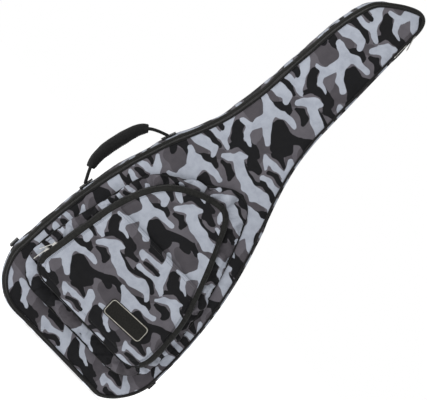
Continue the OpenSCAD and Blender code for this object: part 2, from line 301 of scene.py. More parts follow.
def sweep(name, path, section, mat, up=None, closed=False, caps=True, scale=None, rcu=None, smooth=True):
    """Sweeps a closed section, given as (side, up) pairs in mm, along a path. rc is (round the section, along the path)."""
    p = np.asarray(path, float)
    t, side, nrm = frames(p, up, closed)
    sec = np.asarray(section, float)
    n = len(sec)
    sc = np.ones((len(p), 2)) if scale is None else np.asarray(scale, float)
    if sc.ndim == 1:
        sc = np.stack([sc, sc], 1)
    v = p[:, None, :] + side[:, None, :] * (sec[None, :, 0:1] * sc[:, None, 0:1]) + nrm[:, None, :] * (sec[None, :, 1:2] * sc[:, None, 1:2])
    rows = len(p)
    f = ring_faces(rows, n)
    faces = [f]
    if closed:
        i = np.arange(n)
        j = (i + 1) % n
        a = (rows - 1) * n
        faces.append(np.stack([a + i, a + j, j, i], 1))
    elif caps:
        faces.append([list(range(n))[::-1]])
        faces.append([[(rows - 1) * n + k for k in range(n)]])
    su = np.r_[0, np.cumsum(np.linalg.norm(np.diff(sec, axis=0), axis=1))] if rcu is None else rcu
    sp = np.r_[0, np.cumsum(np.linalg.norm(np.diff(p, axis=0), axis=1))]
    rc = np.zeros((rows, n, 3))
    rc[..., 0] = su[None]
    rc[..., 1] = sp[:, None]
    v = v.reshape(-1, 3)
    return mesh_object(name, v, faces, mat, rc.reshape(-1, 3), smooth, cloth=v[:, [0, 2]])


def circle(r, n=10, ry=None):
    a = np.arange(n) * 2 * math.pi / n
    return np.stack([r * np.cos(a), (ry or r) * np.sin(a)], 1)


def rrect(w, h, r, k=3):
    """Rounded rectangle as (x, y) points, counter-clockwise."""
    out = []
    for cx, cy, a0 in ((w / 2 - r, h / 2 - r, 0), (-w / 2 + r, h / 2 - r, 90), (-w / 2 + r, -h / 2 + r, 180), (w / 2 - r, -h / 2 + r, 270)):
        for i in range(k + 1):
            a = math.radians(a0 + 90 * i / k)
            out.append((cx + r * math.cos(a), cy + r * math.sin(a)))
    return np.array(out)


BOXF = np.array([[0, 1, 3, 2], [4, 6, 7, 5], [0, 4, 5, 1], [2, 3, 7, 6], [0, 2, 6, 4], [1, 5, 7, 3]])


def boxes(centres, t, s, n, lt, ls, ln, taper=1.0):
    """Many small boxes at once: centres with tangent, side and normal directions and half sizes."""
    c = np.asarray(centres, float)
    vs = []
    for a in (-1, 1):
        for b in (-1, 1):
            for k in (-1, 1):
                q = taper if k > 0 else 1.0
                vs.append(c + t * (a * lt * q) + s * (b * ls * q) + n * (k * ln))
    v = np.stack(vs, 1).reshape(-1, 3)
    f = (np.arange(len(c))[:, None, None] * 8 + BOXF[None]).reshape(-1, 4)
    return v, f


def stitches(path, up, pitch=4.6, length=3.1, w=0.38, lift=0.15, closed=False):
    """Thread showing along a seam, as short raised dashes."""
    p = np.asarray(path, float)
    q = np.vstack([p, p[:1]]) if closed else p
    u = np.broadcast_to(np.asarray(up, float), p.shape)
    u = np.vstack([u, u[:1]]) if closed else u
    s = np.r_[0, np.cumsum(np.linalg.norm(np.diff(q, axis=0), axis=1))]
    n = max(2, int(s[-1] / pitch))
    m = (np.arange(n) + 0.5) * s[-1] / n
    c = np.stack([np.interp(m, s, q[:, k]) for k in range(3)], 1)
    e = np.stack([np.interp(m + 0.8, s, q[:, k]) for k in range(3)], 1) - np.stack([np.interp(m - 0.8, s, q[:, k]) for k in range(3)], 1)
    e /= np.linalg.norm(e, axis=1)[:, None] + 1e-12
    nn = np.stack([np.interp(m, s, u[:, k]) for k in range(3)], 1)
    nn -= (nn * e).sum(1)[:, None] * e
    nn /= np.linalg.norm(nn, axis=1)[:, None] + 1e-12
    sd = np.cross(e, nn)
    return boxes(c + nn * lift, e, sd, nn, length / 2, w, w * 0.8, 0.62)


def join_parts(parts):
    """[(v, f), ...] into one vertex and face array."""
    vs, fs, k = [], [], 0
    for v, f in parts:
        vs.append(v)
        fs.append(f + k)
        k += len(v)
    return np.vstack(vs), np.vstack(fs)


# ------------------------------------------------------------------ outlines

L = BAG_L
BOUT_R, BOUT_L = SIDE_HI[0], -SIDE_LO[0]


def bag_curve():
    return np.vstack([
        [[-118, 0]],
        bez([140, 0], [158, 0], [BOUT_R - 9, 32], [BOUT_R, 105]),
        bez([BOUT_R, 105], [BOUT_R, 255], [196, 378], [137, 518]),
        bez([137, 518], [99, 608], [79.5, 665], [75, 755]),
        [[75, 755]],
        bez([61, L - 44], [58.5, L - 14], [50, L], [31, L]),
        bez([31, L], [10, L], [-38, L - 33], [-58, L - 56]),
        bez([-58, L - 56], [-73, L - 73], [-86, L - 139], [-88, L - 188]),
        bez([-88, L - 188], [-89, L - 230], [-93, 815], [-93, 755]),
        bez([-93, 755], [-97, 665], [-107, 608], [-147, 518]),
        bez([-147, 518], [-196, 378], [-BOUT_L, 255], [-BOUT_L, 105]),
        bez([-BOUT_L, 105], [4 - BOUT_L, 34], [-152, 0], [-118, 0])])


def pocket_curve():
    return np.vstack([
        [[-115, 66]],
        bez([105, 66], [150, 66], [180, 100], [180, 150]),
        bez([180, 150], [180, 190], [176, 225], [168, 270]),
        bez([168, 270], [155, 340], [120, 440], [88, 498]),
        bez([88, 498], [76, 518], [62, 528], [42, 528]),
        bez([42, 528], [25, 528], [10, 517], [-6, 503]),
        bez([-6, 503], [-38, 474], [-90, 455], [-118, 425]),
        bez([-118, 425], [-138, 400], [-142, 370], [-150, 320]),
        bez([-150, 320], [-160, 270], [-179, 210], [-181, 150]),
        bez([-181, 150], [-181, 100], [-158, 66], [-115, 66])])


def flap_curve():
    return np.vstack([
        [[-112, 97]],
        bez([108, 97], [145, 97], [166, 115], [166, 152]),
        bez([166, 152], [166, 195], [162, 235], [151, 268]),
        bez([151, 268], [135, 315], [95, 410], [68, 455]),
        bez([68, 455], [57, 473], [46, 484], [30, 484]),
        bez([30, 484], [-20, 480], [-78, 446], [-103, 405]),
        bez([-103, 405], [-122, 374], [-130, 345], [-140, 300]),
        [[-140, 300]],
        bez([-161, 140], [-163, 115], [-145, 97], [-112, 97])])


NB = 760
P = resample(bag_curve(), NB, sig=3.0)
N2 = normals2(P)
S_ARC = arclen(P)
NP = 560
PB = resample(pocket_curve(), NP, sig=4.0)
PBN = normals2(PB)
PF = resample(flap_curve(), NP, sig=2.5)
PFN = normals2(PF)
PF_ARC = arclen(PF)
HZ0, HZ1 = 112.0, L - 124.0
HINGE = (P[:, 0] > 0) & (P[:, 1] > HZ0) & (P[:, 1] < HZ1)


def ring3(p, n, d, y):
    """Points moved inward by d (mm) at depth y; d and y may vary round the ring."""
    q = p - n * np.broadcast_to(np.asarray(d, float), (len(p),))[:, None]
    return np.stack([q[:, 0], np.broadcast_to(np.asarray(y, float), (len(p),)), q[:, 1]], 1)


def clean_offset(p, n, d, m):
    """Outline moved inward by d, with the points that crossed over in tight corners taken out."""
    q = p - n * d
    q = q[seg_dist(q, p)[0] > d - 0.25]
    return resample(q, m, sig=1.2)


def run_indices(mask):
    """Indices of the one True run of a closed mask, in order."""
    n = len(mask)
    start = [i for i in range(n) if mask[i] and not mask[i - 1]][0]
    out = []
    i = start
    while mask[i % n]:
        out.append(i % n)
        i += 1
        if len(out) > n:
            break
    return np.array(out)


ZIP_I = run_indices(~HINGE)
HIN_I = run_indices(HINGE)
HIN_I = np.r_[(HIN_I[0] - 1) % NB, HIN_I, (HIN_I[-1] + 1) % NB]

# ------------------------------------------------------------ printed pattern
# One repeat of the print, drawn as rounded strokes: (radius, x, z, radius, x, z, ...) in mm on the cloth.
LA, LB = np.array([178.0, 5.0]), np.array([61.0, 171.0])
LIGHT = [
    (12, -160, 200, 16, -146, 196, 17, -136, 186, 16, -134, 176), (14, -136, 196, 11, -112, 204, 9, -76, 206), (15, -136, 180, 12, -148, 158, 9, -152, 146),
    (14, -134, 178, 11, -116, 158, 9, -97, 149), (10, -160, 202, 8, -172, 204),
    (8, -102, 238, 10, -88, 250, 13, -72, 260), (12, -72, 262, 7, -58, 270), (14, -70, 256, 15, -48, 242, 16, -22, 235, 14, 6, 233, 13, 30, 241, 10, 50, 240), (10, 50, 240, 9, 55, 231),
    (8, -22, 297, 8, 4, 295, 9, 28, 298), (8, 22, 328, 12, 36, 314, 14, 44, 296, 13, 50, 278, 10, 60, 266, 8, 74, 262), (8, -6, 268, 8, 20, 266, 9, 50, 268),
    (7, -117, 315, 9, -98, 316, 9, -90, 304, 8, -84, 295, 6, -66, 290),
    (7, -10, 284, 8, -20, 292),
]
DARK = [
    (15, -103, 181, 20, -84, 172, 18, -66, 170), (8, -116, 174, 9, -104, 168), (13, -78, 154, 12, -64, 158),
    (9, -70, 186, 8, -46, 199, 8, -18, 208, 7, 6, 203, 9, 30, 206, 9, 54, 215, 7, 74, 219),
    (10, -30, 196, 8, -18, 190),
    (12, -113, 302, 12, -104, 286, 7, -84, 280, 8, -58, 282, 10, -42, 272, 6, -18, 272), (6, -58, 292, 8, -50, 286),
    (4, -62, 260, 5, -44, 254, 5, -14, 250, 5, 14, 255, 6, 40, 256, 5, 58, 250),
    (6, -136, 212, 8, -118, 221, 6, -102, 217),
    (4, -96, 229, 6, -78, 235, 7, -66, 229, 5, -64, 220),
    (5, 40, 118, 7, 62, 122, 5, 80, 122),
    (5, -134, 121, 6, -118, 118, 4, -104, 121), (5, -90, 276, 6, -100, 264, 4, -106, 254),
    (5, 84, 300, 5, 92, 306), (5, 8, 258, 4, -4, 262),
]
OVER = [
    (5.5, -12, 311, 7, 4, 315, 5, 21, 310), (4.5, 0, 281, 5.5, 18, 283, 5.5, 38, 283), (5, -66, 224, 6, -74, 232, 4.5, -92, 230),
]
BROWN = [
    (16, -22, 180, 19, 6, 178, 15, 34, 184), (12, -2, 224, 15, 16, 224, 10, 36, 220), (10, -112, 336, 12, -96, 334, 8, -84, 328),
    (12, -44, 304, 14, -28, 318, 10, -48, 318), (8, -140, 246, 10, -132, 236), (10, -108, 130, 12, -98, 116, 8, -118, 112),
    (9, 62, 236, 10, 74, 244), (7, -50, 160, 9, -38, 152),
]
CELL = 240


def cell_sdf(strokes, k=1.3):
    """Signed distance to a set of strokes over one repeat, on a grid of CELL x CELL, wrapped at its edges."""
    t = (np.arange(CELL) + 0.5) / CELL
    U, V = np.meshgrid(t, t, indexing="ij")
    x = U * LA[0] + V * LB[0]
    z = U * LA[1] + V * LB[1]
    acc = np.zeros_like(x)
    for st in strokes:
        pts = [(st[i], st[i + 1], st[i + 2]) for i in range(0, len(st), 3)]
        for (r0, ax, az), (r1, bx, bz) in zip(pts, pts[1:]):
            cx, cz = (ax + bx) / 2, (az + bz) / 2
            m = np.linalg.solve(np.stack([LA, LB], 1), [cx, cz])
            o = np.floor(m)
            for i in (-1, 0, 1):
                for j in (-1, 0, 1):
                    sh = LA * (i - o[0]) + LB * (j - o[1])
                    px, pz = x - ax - sh[0], z - az - sh[1]
                    dx, dz = bx - ax, bz - az
                    h = np.clip((px * dx + pz * dz) / (dx * dx + dz * dz), 0, 1)
                    d = np.hypot(px - h * dx, pz - h * dz) - (r0 + (r1 - r0) * h)
                    acc += np.exp(-np.clip(d, -60, 60) / k)
    return -k * np.log(np.maximum(acc, 1e-20))


def tidy(s, few=110):
    """Gaps and crumbs too small to print are dropped."""
    for sign in (1, -1):
        m = s * sign > 0
        seen = ~m
        for i0, j0 in zip(*np.nonzero(m)):
            if seen[i0, j0]:
                continue
            seen[i0, j0] = True
            part = [(i0, j0)]
            for i, j in part:
                for c in (((i + 1) % CELL, j), ((i - 1) % CELL, j), (i, (j + 1) % CELL), (i, (j - 1) % CELL)):
                    if not seen[c]:
                        seen[c] = True
                        part.append(c)
            if len(part) < few:
                c = np.array(part)
                s[c[:, 0], c[:, 1]] = -1.5 * sign
    return s


SDFS = [tidy(np.clip(cell_sdf(s) + o, -40, 40)) for s, o in ((LIGHT, 3.1), (DARK, 0.5), (BROWN, 0), (OVER, 0))]
MINV = np.linalg.inv(np.stack([LA, LB], 1))


def print_at(q):
    """The four layers' distances at cloth points q (mm): light, dark, brown, and dark over light."""
    q = np.asarray(q, float)
    w = np.stack([field(q, 70, 301), field(q, 70, 302)], 1) * 1.5 + np.stack([field(q, 30, 303), field(q, 30, 304)], 1) * 1.0
    m = (q + w) @ MINV.T
    m = (m - np.floor(m)) * CELL - 0.5
    i0 = np.floor(m).astype(int)
    fr = m - i0
    out = []
    for s in SDFS:
        a, b = i0[:, 0] % CELL, i0[:, 1] % CELL
        a1, b1 = (a + 1) % CELL, (b + 1) % CELL
        u, v = fr[:, 0], fr[:, 1]
        out.append(s[a, b] * (1 - u) * (1 - v) + s[a1, b] * u * (1 - v) + s[a, b1] * (1 - u) * v + s[a1, b1] * u * v)
    return np.stack(out, 1)

# ----------------------------------------------------------------- materials


class Nodes:
    def __init__(self, name):
        self.m = bpy.data.materials.new(name)
        self.m.use_nodes = True
        self.t = self.m.node_tree
        self.b = self.t.nodes["Principled BSDF"]
        MATS[name] = self.m

    def n(self, kind, **kw):
        x = self.t.nodes.new(kind)
        for k, v in kw.items():
            setattr(x, k, v)
        return x

    def link(self, a, b):
        self.t.links.new(a, b)

    def val(self, x, sock):
        if isinstance(x, (int, float)):
            sock.default_value = x
        elif isinstance(x, (tuple, list)):
            sock.default_value = x
        else:
            self.link(x, sock)

    def math(self, op, a, b=None, c=None, clamp=False):
        x = self.n("ShaderNodeMath", operation=op, use_clamp=clamp)
        self.val(a, x.inputs[0])
        if b is not None:
            self.val(b, x.inputs[1])
        if c is not None:
            self.val(c, x.inputs[2])
        return x.outputs[0]

    def vec(self, op, a, b=None, scale=None):
        x = self.n("ShaderNodeVectorMath", operation=op)
        self.val(a, x.inputs[0])
        if b is not None:
            self.val(b, x.inputs[1])
        if scale is not None:
            self.val(scale, x.inputs["Scale"])
        return x.outputs[0]

    def attr(self, name="rc"):
        return self.n("ShaderNodeAttribute", attribute_name=name).outputs["Vector"]

    def obj(self):
        return self.n("ShaderNodeTexCoord").outputs["Object"]

    def sep(self, v):
        x = self.n("ShaderNodeSeparateXYZ")
        self.link(v, x.inputs[0])
        return x.outputs

    def comb(self, x, y, z):
        c = self.n("ShaderNodeCombineXYZ")
        for i, v in enumerate((x, y, z)):
            self.val(v, c.inputs[i])
        return c.outputs[0]

    def noise(self, v, scale, detail=2.0, rough=0.5, dist=0.0, out="Fac", dims="3D"):
        x = self.n("ShaderNodeTexNoise", noise_dimensions=dims)
        self.link(v, x.inputs["Vector"])
        x.inputs["Scale"].default_value = scale
        x.inputs["Detail"].default_value = detail
        x.inputs["Roughness"].default_value = rough
        x.inputs["Distortion"].default_value = dist
        return x.outputs[out]

    def smooth(self, x, lo, hi, a=0.0, b=1.0):
        m = self.n("ShaderNodeMapRange", interpolation_type="SMOOTHSTEP")
        self.val(x, m.inputs["Value"])
        for k, v in zip(("From Min", "From Max", "To Min", "To Max"), (lo, hi, a, b)):
            m.inputs[k].default_value = v
        return m.outputs[0]

    def mix(self, f, a, b, blend="MIX"):
        x = self.n("ShaderNodeMix", data_type="RGBA", blend_type=blend)
        self.val(f, x.inputs[0])
        self.val(a, x.inputs[6])
        self.val(b, x.inputs[7])
        return x.outputs[2]

    def bump(self, h, strength, dist, normal=None):
        x = self.n("ShaderNodeBump")
        x.inputs["Strength"].default_value = strength
        x.inputs["Distance"].default_value = dist
        self.link(h, x.inputs["Height"])
        if normal is not None:
            self.link(normal, x.inputs["Normal"])
        return x.outputs[0]

    def set(self, **kw):
        for k, v in kw.items():
            self.val(v, self.b.inputs[k.replace("_", " ")])


def srgb(r, g, b, a=1.0):
    f = lambda c: ((c / 255) / 12.92) if c / 255 <= 0.04045 else ((c / 255 + 0.055) / 1.055) ** 2.4
    return (f(r), f(g), f(b), a)


def weave(m, v, pu, pv):
    """Plain weave height: warp and weft ribs that take turns on top. pu, pv are the thread pitches in mm."""
    s = m.sep(v)
    u = m.math("MULTIPLY", s[0], math.pi / (pu * MM))
    w = m.math("MULTIPLY", s[1], math.pi / (pv * MM))
    a = m.math("MULTIPLY", m.math("SINE", u), m.math("SINE", w))       # over and under
    r1 = m.math("ABSOLUTE", m.math("SINE", m.math("MULTIPLY", u, 1.0)))
    r2 = m.math("ABSOLUTE", m.math("SINE", m.math("MULTIPLY", w, 1.0)))
    over = m.math("GREATER_THAN", a, 0.0)
    return m.math("ADD", m.math("MULTIPLY", over, r1), m.math("MULTIPLY", m.math("SUBTRACT", 1.0, over), r2))


def make_camo(name):
    m = Nodes(name)
    rc = m.attr()
    s = m.sep(m.attr("pl"))
    over = m.n("ShaderNodeAttribute", attribute_name="po").outputs["Fac"]
    dark, mid, brown, light = srgb(21, 21, 23), srgb(90, 87, 92), srgb(73, 70, 74), srgb(158, 163, 173)
    jit = m.math("MULTIPLY", m.math("SUBTRACT", m.noise(rc, 420.0, 1.0), 0.5), 0.0007)
    e = 0.00045

    def edge(v):
        x = m.n("ShaderNodeMapRange", interpolation_type="SMOOTHSTEP")
        m.val(m.math("ADD", v, jit), x.inputs["Value"])
        for k, q in zip(("From Min", "From Max", "To Min", "To Max"), (-e, e, 1.0, 0.0)):
            x.inputs[k].default_value = q
        return x.outputs[0]

    col = m.mix(edge(s[2]), mid, brown)
    col = m.mix(edge(s[1]), col, dark)
    col = m.mix(edge(s[0]), col, light)
    col = m.mix(edge(over), col, dark)
    fade = m.noise(rc, 55.0, 3.0, 0.6)
    col = m.mix(m.smooth(fade, 0.35, 0.72, 0.0, 1.0), col, m.mix(1.0, col, (0.86, 0.86, 0.87, 1), "MULTIPLY"))
    dust = m.noise(rc, 850.0, 2.0, 0.7)
    col = m.mix(m.smooth(dust, 0.42, 0.78, 0.0, 0.5), col, m.mix(1.0, col, (1.22, 1.22, 1.23, 1), "MULTIPLY"))
    wv = weave(m, rc, 0.62, 0.70)
    h1 = m.bump(wv, 0.35, 0.00022)
    crease = m.noise(rc, 40.0, 4.0, 0.55, 0.4)
    h2 = m.bump(crease, 0.32, 0.0016, h1)
    m.set(Base_Color=col, Roughness=m.smooth(dust, 0.2, 0.8, 0.74, 0.92), Normal=h2)
    m.b.inputs["Sheen Weight"].default_value = 0.03
    m.b.inputs["Sheen Roughness"].default_value = 0.45
    m.b.inputs["Specular IOR Level"].default_value = 0.16
    return m


def make_cloth(name, c1, c2, pu, pv, bump=0.5, dist=0.0003, rough=0.85, sheen=0.25, rib=None, fuzz=260.0, wear=None, spec=0.3, use_obj=False):
    """Woven black goods: weave or ribs, thread-to-thread colour variation, lint and wear, and painted shade in the
    weave's hollows.
    """
    m = Nodes(name)
    rc = m.obj() if use_obj else m.attr()
    n1 = m.noise(rc, fuzz, 3.0, 0.65)
    n2 = m.noise(rc, 28.0, 3.0, 0.6)
    col = m.mix(m.smooth(n1, 0.3, 0.72), c1, c2)
    col = m.mix(m.smooth(n2, 0.40, 0.80, 0.0, 0.45), col, c2)
    wv = weave(m, rc, pu, pv)
    # painted shade: the colour is darkened where the weave's height is low, in the hollows between threads
    col = m.mix(m.smooth(wv, 0.15, 0.9, 0.35, 0.0), col, (0.004, 0.004, 0.004, 1))
    if rib:
        s = m.sep(rc)
        r = m.math("SINE", m.math("MULTIPLY", s[rib[0]], 2 * math.pi / (rib[1] * MM)))
        wv = m.math("ADD", m.math("MULTIPLY", wv, 0.5), m.math("MULTIPLY", r, 0.6))
    if wear:
        col = m.mix(m.smooth(m.noise(rc, wear, 4.0, 0.7), 0.58, 0.80, 0.0, 0.4), col, srgb(70, 69, 69))
    m.set(Base_Color=col, Roughness=rough, Normal=m.bump(wv, bump, dist))
    m.b.inputs["Sheen Weight"].default_value = sheen
    m.b.inputs["Sheen Roughness"].default_value = 0.4
    m.b.inputs["Specular IOR Level"].default_value = spec
    return m


def make_metal(name, c1, c2, rough=0.28):
    m = Nodes(name)
    o = m.obj()
    sc = m.vec("MULTIPLY", o, (400.0, 400.0, 9000.0))
    brush = m.noise(sc, 1.0, 3.0, 0.6)
    pit = m.noise(o, 900.0, 4.0, 0.7)
    col = m.mix(m.smooth(pit, 0.45, 0.75), c1, c2)
    geo = m.n("ShaderNodeNewGeometry").outputs["Pointiness"]
    col = m.mix(m.smooth(geo, 0.50, 0.56), col, srgb(214, 212, 206))
    m.set(Base_Color=col, Metallic=1.0, Roughness=m.smooth(brush, 0.3, 0.7, rough - 0.08, rough + 0.14), Normal=m.bump(brush, 0.15, 0.00006))
    return m


def make_plastic(name, c1, c2, rough=0.42):
    m = Nodes(name)
    o = m.obj()
    n1 = m.noise(o, 1500.0, 3.0, 0.6)
    n2 = m.noise(o, 130.0, 4.0, 0.6)
    col = m.mix(m.smooth(n2, 0.4, 0.8), c1, c2)
    m.set(Base_Color=col, Roughness=m.smooth(n2, 0.3, 0.8, rough - 0.06, rough + 0.16), Normal=m.bump(n1, 0.25, 0.00008))
    return m


def make_foam(name, c1, c2):
    m = Nodes(name)
    o = m.obj()
    v = m.n("ShaderNodeTexVoronoi")
    v.inputs["Scale"].default_value = 700.0
    m.link(o, v.inputs["Vector"])
    n2 = m.noise(o, 60.0, 3.0)
    col = m.mix(m.smooth(v.outputs["Distance"], 0.1, 0.7), c1, c2)
    col = m.mix(m.smooth(n2, 0.4, 0.8, 0.0, 0.3), col, c2)
    m.set(Base_Color=col, Roughness=0.95, Normal=m.bump(v.outputs["Distance"], 0.5, 0.0004))
    return m


BLK = srgb(30, 30, 29)
BLK2 = srgb(50, 50, 48)
make_camo("camo")
make_cloth("piping", srgb(20, 20, 20), srgb(34, 34, 33), 0.55, 0.8, 0.6, 0.0003, sheen=0.08, spec=0.2)
make_cloth("tape", srgb(24, 24, 23), srgb(42, 42, 40), 0.6, 0.42, 0.6, 0.00028, rib=(1, 1.1), sheen=0.06, spec=0.18)
make_cloth("webbing", srgb(19, 19, 19), srgb(36, 36, 35), 1.7, 0.9, 0.8, 0.0005, rib=(0, 3.4), sheen=0.1, wear=70.0, spec=0.2)
make_cloth("strapface", srgb(26, 26, 27), srgb(44, 44, 46), 0.7, 0.7, 0.6, 0.0003, sheen=0.25, wear=22.0)
make_cloth("strapmesh", srgb(22, 22, 23), srgb(40, 40, 42), 2.6, 2.2, 1.0, 0.0009, sheen=0.3)
make_cloth("grip", srgb(17, 17, 17), srgb(29, 29, 29), 1.1, 1.1, 0.7, 0.0004, sheen=0.1, wear=34.0, spec=0.2)
make_cloth("lining", srgb(52, 52, 56), srgb(72, 72, 78), 0.5, 0.9, 0.35, 0.0002, sheen=0.55, rough=0.95, wear=12.0)
make_cloth("plush", srgb(34, 34, 37), srgb(56, 56, 60), 0.8, 0.8, 0.4, 0.0004, sheen=0.7, rough=0.98, use_obj=True)
make_cloth("badge", srgb(20, 20, 18), srgb(36, 35, 32), 0.45, 0.45, 0.7, 0.0002, sheen=0.06, spec=0.2)
make_cloth("thread", srgb(20, 20, 20), srgb(48, 48, 48), 0.5, 0.3, 0.5, 0.0001, use_obj=True)
make_cloth("pale_thread", srgb(150, 148, 138), srgb(196, 193, 182), 0.5, 0.3, 0.5, 0.0001, use_obj=True)
make_plastic("coil", srgb(22, 22, 21), srgb(44, 44, 41), 0.40)
make_plastic("buckle", srgb(24, 24, 24), srgb(40, 40, 40), 0.45)
make_metal("nickel", srgb(98, 96, 92), srgb(62, 60, 57), 0.32)
make_metal("gunmetal", srgb(74, 73, 71), srgb(48, 47, 46), 0.34)
make_foam("foam", srgb(60, 61, 64), srgb(86, 87, 91))

# ------------------------------------------------------------ soft surfaces


def expfall(d, s):
    return 1 - np.exp(-np.maximum(d, 0) / s)


LID_D0 = 17.5                                     # where the crowned panel starts
LID_B = P - N2 * LID_D0


def lid_depth(g, d=None):
    """Front face of the lid at (x, z): a padded panel, pulled in along its seams."""
    g = np.asarray(g, float)
    if d is None:
        d = np.where(inside(g, P), seg_dist(g, P)[0], 0) - LID_D0
    dp, sp = seg_dist(g, PB)
    out = ~inside(g, PB)
    y = -4.6 * expfall(d, 15) - 1.3 * field(g, 150, 3) * expfall(d, 30)
    # drag lines that run off the pocket's corners, and a dip along its seam
    near = np.exp(-(dp / 15.0) ** 2) * out
    y += 1.7 * near * (0.75 + 0.6 * field(np.c_[sp, sp * 0], 46, 5))
    ripple = field(np.c_[g[:, 0] * 0.55 + g[:, 1] * 0.18, g[:, 1] * 0.9], 70, 8)
    y += 0.85 * ripple * expfall(d, 25)
    y += 0.8 * field(g, 38, 9) * np.exp(-(np.maximum(d, 0) / 22.0)) * expfall(d, 4)
    return Y_FRONT - 1.2 + y


def add_rings(p, n, prof, arc, disp=None):
    """Rings (d, y) round an outline, with cloth coordinates (y, arclength)."""
    v, rc = [], []
    for k, (d, y) in enumerate(prof):
        dd = np.full(len(p), float(d))
        if disp is not None:
            dd = dd + disp(k, d, y)
        v.append(ring3(p, n, dd, y))
        rc.append(np.stack([np.full(len(p), float(y)) + d * 0.6, arc, np.zeros(len(p))], 1))
    return np.vstack(v), np.vstack(rc)


# ---- shell: side wall and back
SIDE_PROF = [(3.6, -21.6), (2.4, -19.8), (1.5, -17.0), (0.9, -12.5), (0.4, -7), (0.1, -1), (0.0, 6), (0.0, 14),
             (0.4, 21), (1.3, 28), (2.6, 34), (4.2, 39.5), (6.0, 43.8), (7.8, 46.8), (9.4, 48.6)]
lift = np.clip((P[:, 1] - 8) / 60.0, 0, 1)


def side_disp(k, d, y):
    a = field(np.c_[S_ARC, np.full(NB, y)], 95, 11) * 1.0 + field(np.c_[S_ARC, np.full(NB, y)], 34, 12) * 0.35
    edge = math.sin(math.pi * k / (len(SIDE_PROF) - 1))
    puck = field(np.c_[S_ARC, S_ARC * 0], 17, 13) * 0.45 * math.exp(-min(k, len(SIDE_PROF) - 1 - k) / 1.6)
    return lift * (np.maximum(0.9 * edge + a * edge, -0.6) + puck + 0.4)


v, rc = add_rings(P, N2, SIDE_PROF, S_ARC, side_disp)
f = ring_faces(len(SIDE_PROF), NB)[:, ::-1]
side = mesh_object("shell_side_cloth", v, [f], "camo", rc)
solidify(side, 1.6)
place(side, "shell", ("side_cover",))

BK_D = 10.2
v2, f2 = cdt(P - N2 * BK_D, 8.0)
d2 = seg_dist(v2, P - N2 * BK_D)[0]
yb = Y_BACK - 1.0 + 2.0 * expfall(d2, 18) + 0.5 * field(v2, 120, 21) * expfall(d2, 20) + 0.4 * field(v2, 45, 22) * np.exp(-d2 / 25) * expfall(d2, 5)
v = np.stack([v2[:, 0], yb, v2[:, 1]], 1)
back = mesh_object("shell_back_cloth", v, [f2[:, ::-1]], "camo", np.stack([-v2[:, 0] + 310, v2[:, 1] + 60, np.full(len(v2), 90.0)], 1))
solidify(back, 1.6)
place(back, "shell", ("back_cover",))

# ---- piping, as a woven cover over a cord


def piping(name, pts3, n3, r, body, reps, closed=True):
    ob = sweep(name, pts3, circle(r, 10), "piping", up=n3, closed=closed)
    return place(ob, body, reps)


N3 = np.stack([N2[:, 0], np.zeros(NB), N2[:, 1]], 1)
wob = field(np.c_[S_ARC, S_ARC * 0], 60, 31) * 0.35
piping("rear_piping_cord", ring3(P, N2, 8.3 + wob, Y_BACK - 0.6 + wob * 0.4), N3, 2.3, "shell", ("rear_piping",))
wob = field(np.c_[S_ARC, S_ARC * 0], 70, 32) * 0.35
piping("front_piping_cord", ring3(P, N2, FI - 1.0 + wob, Y_FRONT - 0.4 + wob * 0.5), N3, 2.5, "lid", ("front_piping",))

# ---- main zip: tapes and coil teeth
nz = len(ZIP_I)


def tape(name, p, n, idx, prof, body, reps, arc, mat="tape", disp=None, t=0.9, flip=False):
    v, rc = [], []
    for k, (d, y) in enumerate(prof):
        dd = np.full(len(p), float(d)) + (disp if disp is not None else 0)
        v.append(ring3(p, n, dd, y)[idx])
        rc.append(np.stack([np.full(len(idx), float(y)), arc[idx], np.zeros(len(idx))], 1))
    f = ring_faces(len(prof), len(idx), wrap=False)
    if flip:
        f = f[:, ::-1]
    ob = mesh_object(name, np.vstack(v), [f], mat, np.vstack(rc))
    solidify(ob, t)
    return place(ob, body, reps)


def unwrap_arc(arc, idx, total):
    a = arc[idx].copy()
    for i in range(1, len(a)):
        if a[i] < a[i - 1] - total / 2:
            a[i:] += total
    return a


TOT = S_ARC[-1] + np.linalg.norm(P[0] - P[-1])
ARC_Z = S_ARC.copy()
ARC_Z[ZIP_I] = unwrap_arc(S_ARC, ZIP_I, TOT)
ZL = FI - 2.3                                     # the zip line's own inset
tw = field(np.c_[ARC_Z, ARC_Z * 0], 80, 41) * 0.5
tape("shell_zip_band", P, N2, ZIP_I, [(ZL, Y_ZIP + 1.9), (ZL - 0.5, Y_ZIP + 3.2), (ZL - 2.4, Y_ZIP + 5), (ZL - 4.8, Y_ZIP + 7.2), (ZL - 6.9, Y_ZIP + 10), (ZL - 8.1, Y_ZIP + 13.0)],
     "shell", ("shell_zip_tape",), ARC_Z, disp=tw, flip=True)
tape("lid_zip_band", P, N2, ZIP_I, [(ZL, Y_ZIP - 1.9), (ZL + 0.1, Y_ZIP - 3.6), (ZL + 0.4, Y_ZIP - 7), (ZL + 0.9, Y_ZIP - 11), (ZL + 1.4, Y_ZIP - 14.4)],
     "lid", ("lid_zip_tape",), ARC_Z, disp=tw)


